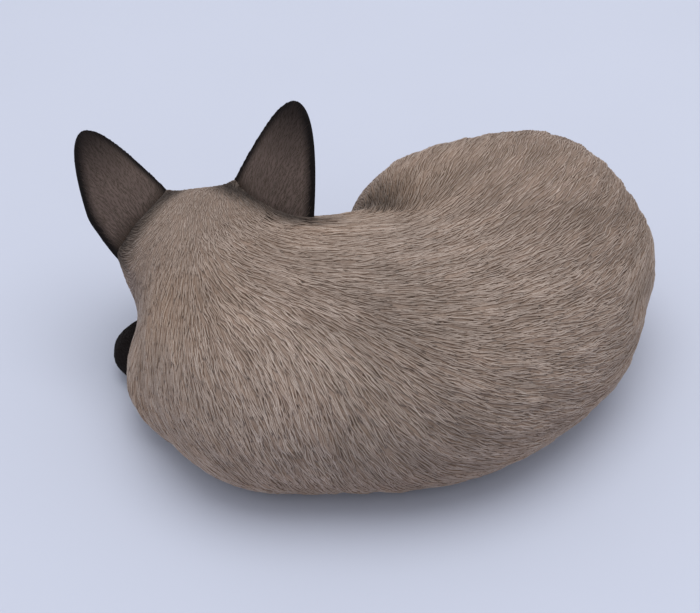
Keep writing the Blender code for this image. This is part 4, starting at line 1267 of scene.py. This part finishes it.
def earMesh(side):
    columns = np.sin(np.linspace(-1, 1, earLeaf["columns"]) * pi / 2)
    rows = np.concatenate([[earLeaf["tip"]], np.linspace(0, 1, earLeaf["rows"])[1:] ** 2,
                           np.linspace(1, 1 + ears["root"], earLeaf["rootRows"])[1:]])
    across, down = np.meshgrid(columns, rows)
    middle = earPoints(side, across.ravel(), down.ravel()).reshape(*across.shape, 3)
    normal = unit(np.cross(np.gradient(middle, axis=1), np.gradient(middle, axis=0)))
    front = np.array(earPlace(side))[:3, 1]
    normal *= np.sign((normal * front).sum(-1, keepdims=True))
    edge = (1 - np.abs(across)) * earHalf(down)
    outline = np.clip(1 - np.abs(across) ** earLeaf["edgeRound"] - 1e-9, 0, 1)
    thick = ears["thickness"] / 2 * np.sqrt(outline)
    thick *= np.clip(np.sqrt(down) * earLeaf["tipRound"], earLeaf["thinnest"], 1)
    roll = earLeaf["rim"] * np.exp(-((edge - earLeaf["rimIn"]) / earLeaf["rimWidth"]) ** 2)
    roll = roll * np.clip(down * earLeaf["rimFromTip"], 0, 1)
    roll *= np.abs(across) < 1                    # the two sheets meet at the edge
    inside = normal * (thick + earLeaf["rimInside"] * roll)[..., None]
    outside = normal * (thick + roll)[..., None]
    points = np.concatenate([(middle + inside).reshape(-1, 3), (middle - outside).reshape(-1, 3)])
    height, width = across.shape
    faces = []
    for sheet in (0, 1):
        for i in range(height - 1):
            for j in range(width - 1):
                a = sheet * height * width + i * width + j
                b = a + width
                faces.append((a, a + 1, b + 1, b) if sheet else (a, b, b + 1, a + 1))
    mesh = meshOf("ear", toFrame(points), faces)
    fields = {"edge": edge, "tipward": 1 - down, "across": across,
              "above": (1 - down) * ears["height"] - earLine(side, side * across)}
    store(mesh, inner=np.repeat([1.0, 0.0], edge.size),
          **{key: np.tile(value.ravel(), 2) for key, value in fields.items()})
    with reshaping(mesh) as work:
        bmesh.ops.remove_doubles(work, verts=work.verts, dist=earLeaf["weld"])
        bmesh.ops.dissolve_degenerate(work, edges=work.edges, dist=earLeaf["sliver"])
        capped(work, openEdges(work))
        bmesh.ops.recalc_face_normals(work, faces=work.faces)
    return mesh


earFinish = {
    "middle": (0.100, 0.074, 0.068), "tip": (0.016, 0.012, 0.012), "rim": (0.0065, 0.0055, 0.006),
    # the root colour is seal paint and painted shade in the crease at the ear's root
    "root": (0.038, 0.026, 0.021), "inside": (0.135, 0.090, 0.078),
    "tipFade": (1.9, -0.75), "rootShadeFade": (-0.12, 1.5),       # slope and start of a mix
    "rimWidth": 5.8, "rimWaver": 2.4, "rimFade": 0.22,       # millimetres to where the rim's black fades out
    "strokes": (34.0, 5.0), "strokeTone": 0.75, "softTone": (0.35, 0.42), "roughness": (0.25, 0.52),
}


def earPaint():
    made, tree, shader, spot = newPaint("painted_ear", 0.75)
    shader.inputs["Specular IOR Level"].default_value = coat["sealGloss"]
    edge, tipward, across, inner, above = (attribute(tree, key) for key in earFields)
    wide, long = earFinish["strokes"]
    lines = addNode(tree, "ShaderNodeCombineXYZ",
                    {0: times(tree, across, wide), 1: times(tree, tipward, long)})
    streak = noise(tree, lines.outputs[0], 2.2, 3.0)
    soft = noise(tree, spot, 60, 2.0)
    skin = blendColour(tree, inner, earFinish["middle"], earFinish["inside"])
    up = linear(tree, tipward, *earFinish["tipFade"], clamp=True)
    skin = blendColour(tree, up, skin, earFinish["tip"])
    # darker at the root: seal paint and painted shade in the crease
    low = linear(tree, above, *earFinish["rootShadeFade"], clamp=True)
    skin = blendColour(tree, low, skin, earFinish["root"])
    tone = linear(tree, streak, earFinish["strokeTone"], linear(tree, soft, *earFinish["softTone"]))
    skin = toned(tree, skin, tone)
    reach = linear(tree, soft, earFinish["rimWaver"], earFinish["rimWidth"])
    rim = times(tree, maths(tree, "SUBTRACT", reach, edge), earFinish["rimFade"], clamp=True)
    skin = blendColour(tree, rim, skin, earFinish["rim"])
    tree.links.new(skin, shader.inputs["Base Color"])
    tree.links.new(linear(tree, streak, *earFinish["roughness"]), shader.inputs["Roughness"])
    bump(tree, shader, streak, 0.5, 0.0004)
    return made


def shortCoat(mesh, kind, flow, normals, cover, tuft=0.0, shade=1.0, seal=1.0):
    length, width, height = shortFur[kind]
    store(mesh, flow=alongSkin(flow, normals), skinNormal=normals, lockLength=(length + tuft) * mm,
          lockWidth=width * mm, lockHeight=height * mm, shade=shade, warm=0.1, seal=seal, cover=cover)


earHair = {                                       # amount, and from where to where it grows
    "fan": 0.35, "rootTuft": (1.5, 0.3, 0),
    "rim": [(0.55, 8.5, 3.5), (0.45, 5.5, 3.0)], "seal": 0.72, "tipSeal": (0.25, 0.35, 0.95),
    # the hair darkens towards the root: seal colour and painted shade in the crease
    "rootSealAndShade": (0.11, 13, 4), "insideShade": 0.25, "insideBare": 0.75,
    "edgeBare": (1.2, 2.2), "rootBare": (-0.25, -0.1), "seed": 21,
}


earSkinPaint = earPaint()
for side, name in ((-1, "left"), (1, "right")):
    mesh = earMesh(side)
    finished(mesh, f"ear_{name}_leaf", f"ear_{name}", earSkinPaint)
    hairy = mesh.copy()
    normals = readVectors(hairy.vertex_normals, "vector")
    edge, tipward, across, inner, above = (readField(hairy, key) for key in earFields)
    aside, _, upward = np.array(earPlace(side))[:3, :3].T
    flow = upward[None] + (side * earHair["fan"] * across)[:, None] * aside[None]
    rim = grown(earHair["rim"][0], edge) + grown(earHair["rim"][1], edge)
    seal = earHair["seal"] + grown(earHair["tipSeal"], tipward) + grown(earHair["rootSealAndShade"], above)
    cover = smoothStep(*earHair["edgeBare"], edge) * smoothStep(*earHair["rootBare"], tipward)
    shortCoat(hairy, "ear", flow, normals, cover * (1 - earHair["insideBare"] * inner),
              grown(earHair["rootTuft"], tipward), 1.0 - earHair["insideShade"] * inner,
              np.clip(seal + (1 - seal) * rim, 0, 1))
    furOn(hairy, f"ear_{name}_hair", "ear", earHair["seed"] + side)
print("ears made")

# Feet and tail: dark castings with toes, laid on the ground
toes = {
    "count": 4, "apart": 5.4, "radius": 5.5, "radii": (0.9, 1.05, 1),
    "reach": 6.0, "shorter": 1.6,                 # the outer toes reach less far
    "back": 5, "rootApart": 0.85, "rootRise": 3.5, "arch": 0.8, "tipDrop": -5.5,
}
limbNet = {"tail": 2.2, "paw": 1.7, "margin": 9}  # the net's spacing, and room round the limb
limbForm = {
    "toeSoftness": 1.2, "sunk": 2.0, "seed": 31,
    "furFree": (-1.0, 1.5), "furAboveGround": (1.8, 3.4),     # hair starts clear of the body and the ground
}


def toeRuns(stations):
    last, before = np.array(stations[-1][:3], float), np.array(stations[-2][:3], float)
    ahead = unit((last - before) * (1, 1, 0))
    aside = np.array([-ahead[1], ahead[0], 0])
    runs = []
    for number in range(toes["count"]):
        off = number - (toes["count"] - 1) / 2
        beside = aside * off * toes["apart"]
        start = last - ahead * toes["back"] + beside * toes["rootApart"] + (0, 0, toes["rootRise"])
        reach = toes["reach"] - abs(off) ** 2 * toes["shorter"]
        end = last + ahead * reach + beside + (0, 0, toes["tipDrop"])
        middle = (start + end) / 2 + (0, 0, toes["arch"])
        runs.append([(*spot, toes["radius"] * share)
                     for spot, share in zip((start, middle, end), toes["radii"])])
    return runs


def limbSurface(name):
    stations = limbs[name]
    runs = [] if name == "tail" else toeRuns(stations)

    def distance(points):
        form = limbDistance(points, stations)
        if runs:
            spread = np.stack([limbDistance(points, run) for run in runs]).min(0)
            form = blended([form, spread], limbForm["toeSoftness"])
        inside = -wholeDistance(points) - limbForm["sunk"]      # only just enters the body
        floor = padProud - points[..., 2]
        return np.maximum(np.maximum(form, inside), floor)
    return distance


def limbFlow(points, stations):
    run = np.array([tuple(s) for s in smoothRun(stations)])
    middles = (run[1:, :3] + run[:-1, :3]) / 2
    ways = unit(run[1:, :3] - run[:-1, :3])
    nearest = np.linalg.norm(points[:, None] - middles[None], axis=-1).argmin(1)
    return ways[nearest]


for number, (name, stations) in enumerate(limbs.items()):
    kind = "tail" if name == "tail" else "paw"
    run = np.array(stations)
    low = (run[:, :3] - run[:, 3:] - limbNet["margin"]).min(0)
    high = (run[:, :3] + run[:, 3:] + limbNet["margin"]).max(0)
    surface = limbSurface(name)
    points, faces = netSkin(surface, low, high, limbNet[kind])
    points[:, 2] = np.maximum(points[:, 2], padProud)
    mesh = meshOf(name, toFrame(points), faces)
    cover = smoothStep(*limbForm["furFree"], wholeDistance(points))
    cover = cover * smoothStep(*limbForm["furAboveGround"], points[:, 2])
    shortCoat(mesh, kind, limbFlow(points, stations), unit(gradient(surface, points)), cover)
    furOn(mesh.copy(), f"{name}_fur", kind, limbForm["seed"] + number)
    finished(mesh, f"{name}_form", name, sealSkinPaint)
print("feet and tail made")


# Eyes
def eyePaint():
    made, tree, shader, _ = newPaint("blue_glass_eye", 0.08)
    shader.inputs["Coat Weight"].default_value = 0.6
    shader.inputs["Coat Roughness"].default_value = 0.04
    x, z = attribute(tree, "eyeX"), attribute(tree, "eyeZ")
    across, upright = times(tree, x, x), times(tree, z, z)
    away = maths(tree, "SQRT", maths(tree, "ADD", across, upright))
    turn = times(tree, maths(tree, "ARCTAN2", z, x), 5.0)
    ray = addNode(tree, "ShaderNodeCombineXYZ", {0: turn, 1: times(tree, away, 0.5)})
    streak = linear(tree, noise(tree, ray.outputs[0], 3.0, 2.0), *eyes["streaks"], clamp=True)
    blue = blendColour(tree, streak, eyes["iris"], eyes["irisPale"])
    blue = blendColour(tree, linear(tree, away, *eyes["rimEdge"], clamp=True), blue, eyes["rim"])
    wide, high = eyes["pupilShape"]
    narrow = maths(tree, "SQRT", maths(tree, "ADD", times(tree, across, wide), times(tree, upright, high)))
    colour = blendColour(tree, linear(tree, narrow, *eyes["pupilEdge"], clamp=True), blue, eyes["pupil"])
    tree.links.new(colour, shader.inputs["Base Color"])
    return made


def eyeRim(angle):
    half, high = eyes["size"]
    rise = high * (1 - cos(angle) ** 2) ** eyes["almond"] * (1 if sin(angle) >= 0 else -1)
    return cos(angle) * half, rise


def eyeMesh(side, name):
    rings, around = eyes["rings"], eyes["around"]
    rim = [eyeRim(2 * pi * k / around) for k in range(around)]
    points, faces = [(0, eyes["dome"], 0)], []
    for ring in range(1, rings + 1):
        share = ring / rings
        swell = np.sqrt(max(1 - share ** 2, 0)) * eyes["domeRound"] + eyes["domePointed"] * (1 - share)
        points += [(x * share, eyes["dome"] * swell, z * share) for x, z in rim]
    points += [(x, -eyes["depth"], z) for x, z in rim]
    points.append((0, -eyes["depth"], 0))
    for k in range(around):
        after = (k + 1) % around
        faces.append((0, 1 + k, 1 + after))
        for ring in range(rings):
            a, b = 1 + ring * around, 1 + (ring + 1) * around
            faces.append((a + k, b + k, b + after, a + after))
        faces.append((1 + rings * around + k, len(points) - 1, 1 + rings * around + after))
    local = np.array(points)
    mesh = meshOf(name, toFrame(placed(np.array(eyePlace(side)), local)), faces)
    store(mesh, eyeX=local[:, 0], eyeZ=local[:, 2])
    with reshaping(mesh) as work:
        bmesh.ops.recalc_face_normals(work, faces=work.faces)
    return mesh


glassPaint = eyePaint()
for side, name in ((-1, "eye_left"), (1, "eye_right")):
    finished(eyeMesh(side, f"{name}_glass"), f"{name}_glass", name, glassPaint)


# Plain castings and fittings keep their own shape
def fittingPaint(name, dark, pale, scale, roughness, depth, spread):
    made, tree, shader, spot = newPaint(name, roughness)
    broad = noise(tree, spot, scale * 0.12, 3.0)
    grain = noise(tree, spot, scale, 4.0, 0.6)
    mixed = linear(tree, grain, 0.7, times(tree, broad, 0.4), clamp=True)
    tree.links.new(blendColour(tree, mixed, dark, pale), shader.inputs["Base Color"])
    tree.links.new(linear(tree, grain, spread, roughness - spread / 2), shader.inputs["Roughness"])
    bump(tree, shader, grain, 0.5, depth)
    return made


fittings = {        # paint, dark and pale colour, grain per metre, roughness, its depth in metres, its spread
    "neck_sleeve": ("raw_resin", (0.50, 0.48, 0.43), (0.72, 0.70, 0.65), 500, 0.6, 0.0003, 0.2),
    "base_plate": ("plate_resin", (0.060, 0.050, 0.044), (0.150, 0.130, 0.115), 420, 0.75, 0.0005, 0.2),
    "vent_plug": ("plug_rubber", (0.018, 0.018, 0.018), (0.045, 0.045, 0.046), 900, 0.6, 0.0002, 0.2),
    "felt_pad": ("felt", (0.020, 0.018, 0.016), (0.095, 0.085, 0.078), 2600, 0.95, 0.0008, 0.05),
}
for kind, finish in fittings.items():
    paint = fittingPaint(*finish)
    for node, piece in frame["nodes"].items():
        if node.startswith(kind):
            piece.data.materials.clear()
            piece.data.materials.append(paint)

for shelf in (workshop, lockShelf):
    for obj in list(shelf.objects):
        bpy.data.objects.remove(obj)
    bpy.data.collections.remove(shelf)

# Camera, light and floor
studio = {
    "target": (-0.01091, -0.00095, 0.05), "elevation": 38.0, "distance": 1.0, "lens": 85.71,
    "sensor": 36.0, "near": 0.01,
    "lamp": (0.12, 0.0, 1.9), "lampTarget": (0, 0, 0.06), "lampSize": 1.8, "lampPower": 18,
    "lampColour": (1.0, 0.985, 0.955), "sky": (0.975, 0.98, 1.0, 1), "skyPower": 0.82,
    "floor": (0.510, 0.546, 0.664), "floorVaries": 1.04, "floorHalf": 3,
}
scene = bpy.context.scene
camera = bpy.data.objects.new("camera", bpy.data.cameras.new("camera"))
camera.data.lens = studio["lens"]
camera.data.sensor_width = studio["sensor"]
camera.data.clip_start = studio["near"]
tilt = radians(studio["elevation"])
ahead = Vector((0, cos(tilt), -sin(tilt)))
camera.location = Vector(studio["target"]) - ahead * studio["distance"]
camera.rotation_euler = ahead.to_track_quat("-Z", "Y").to_euler()
scene.collection.objects.link(camera)
scene.camera = camera

light = bpy.data.lights.new("keyLamp", "AREA")
light.shape = "DISK"
light.size = studio["lampSize"]
light.energy = studio["lampPower"]
light.color = studio["lampColour"]
lamp = bpy.data.objects.new("keyLamp", light)
lamp.location = studio["lamp"]
beam = Vector(studio["lampTarget"]) - Vector(studio["lamp"])
lamp.rotation_euler = beam.to_track_quat("-Z", "Y").to_euler()
scene.collection.objects.link(lamp)

world = bpy.data.worlds.new("softRoom")
world.use_nodes = True
background = world.node_tree.nodes["Background"]
background.inputs["Color"].default_value = studio["sky"]
background.inputs["Strength"].default_value = studio["skyPower"]
scene.world = world

half = studio["floorHalf"]
corners = [(-half, -half, 0), (half, -half, 0), (half, half, 0), (-half, half, 0)]
floorMesh = meshOf("floor", corners, [(0, 1, 2, 3)])
paint, tree, shader, spot = newPaint("pale_floor", 0.9)
paler = tuple(c * studio["floorVaries"] for c in studio["floor"])
colour = blendColour(tree, noise(tree, spot, 6, 2.0), studio["floor"], paler)
tree.links.new(colour, shader.inputs["Base Color"])
floor = addPiece("floor", floorMesh, paint)
scene.view_settings.view_transform = "Standard"
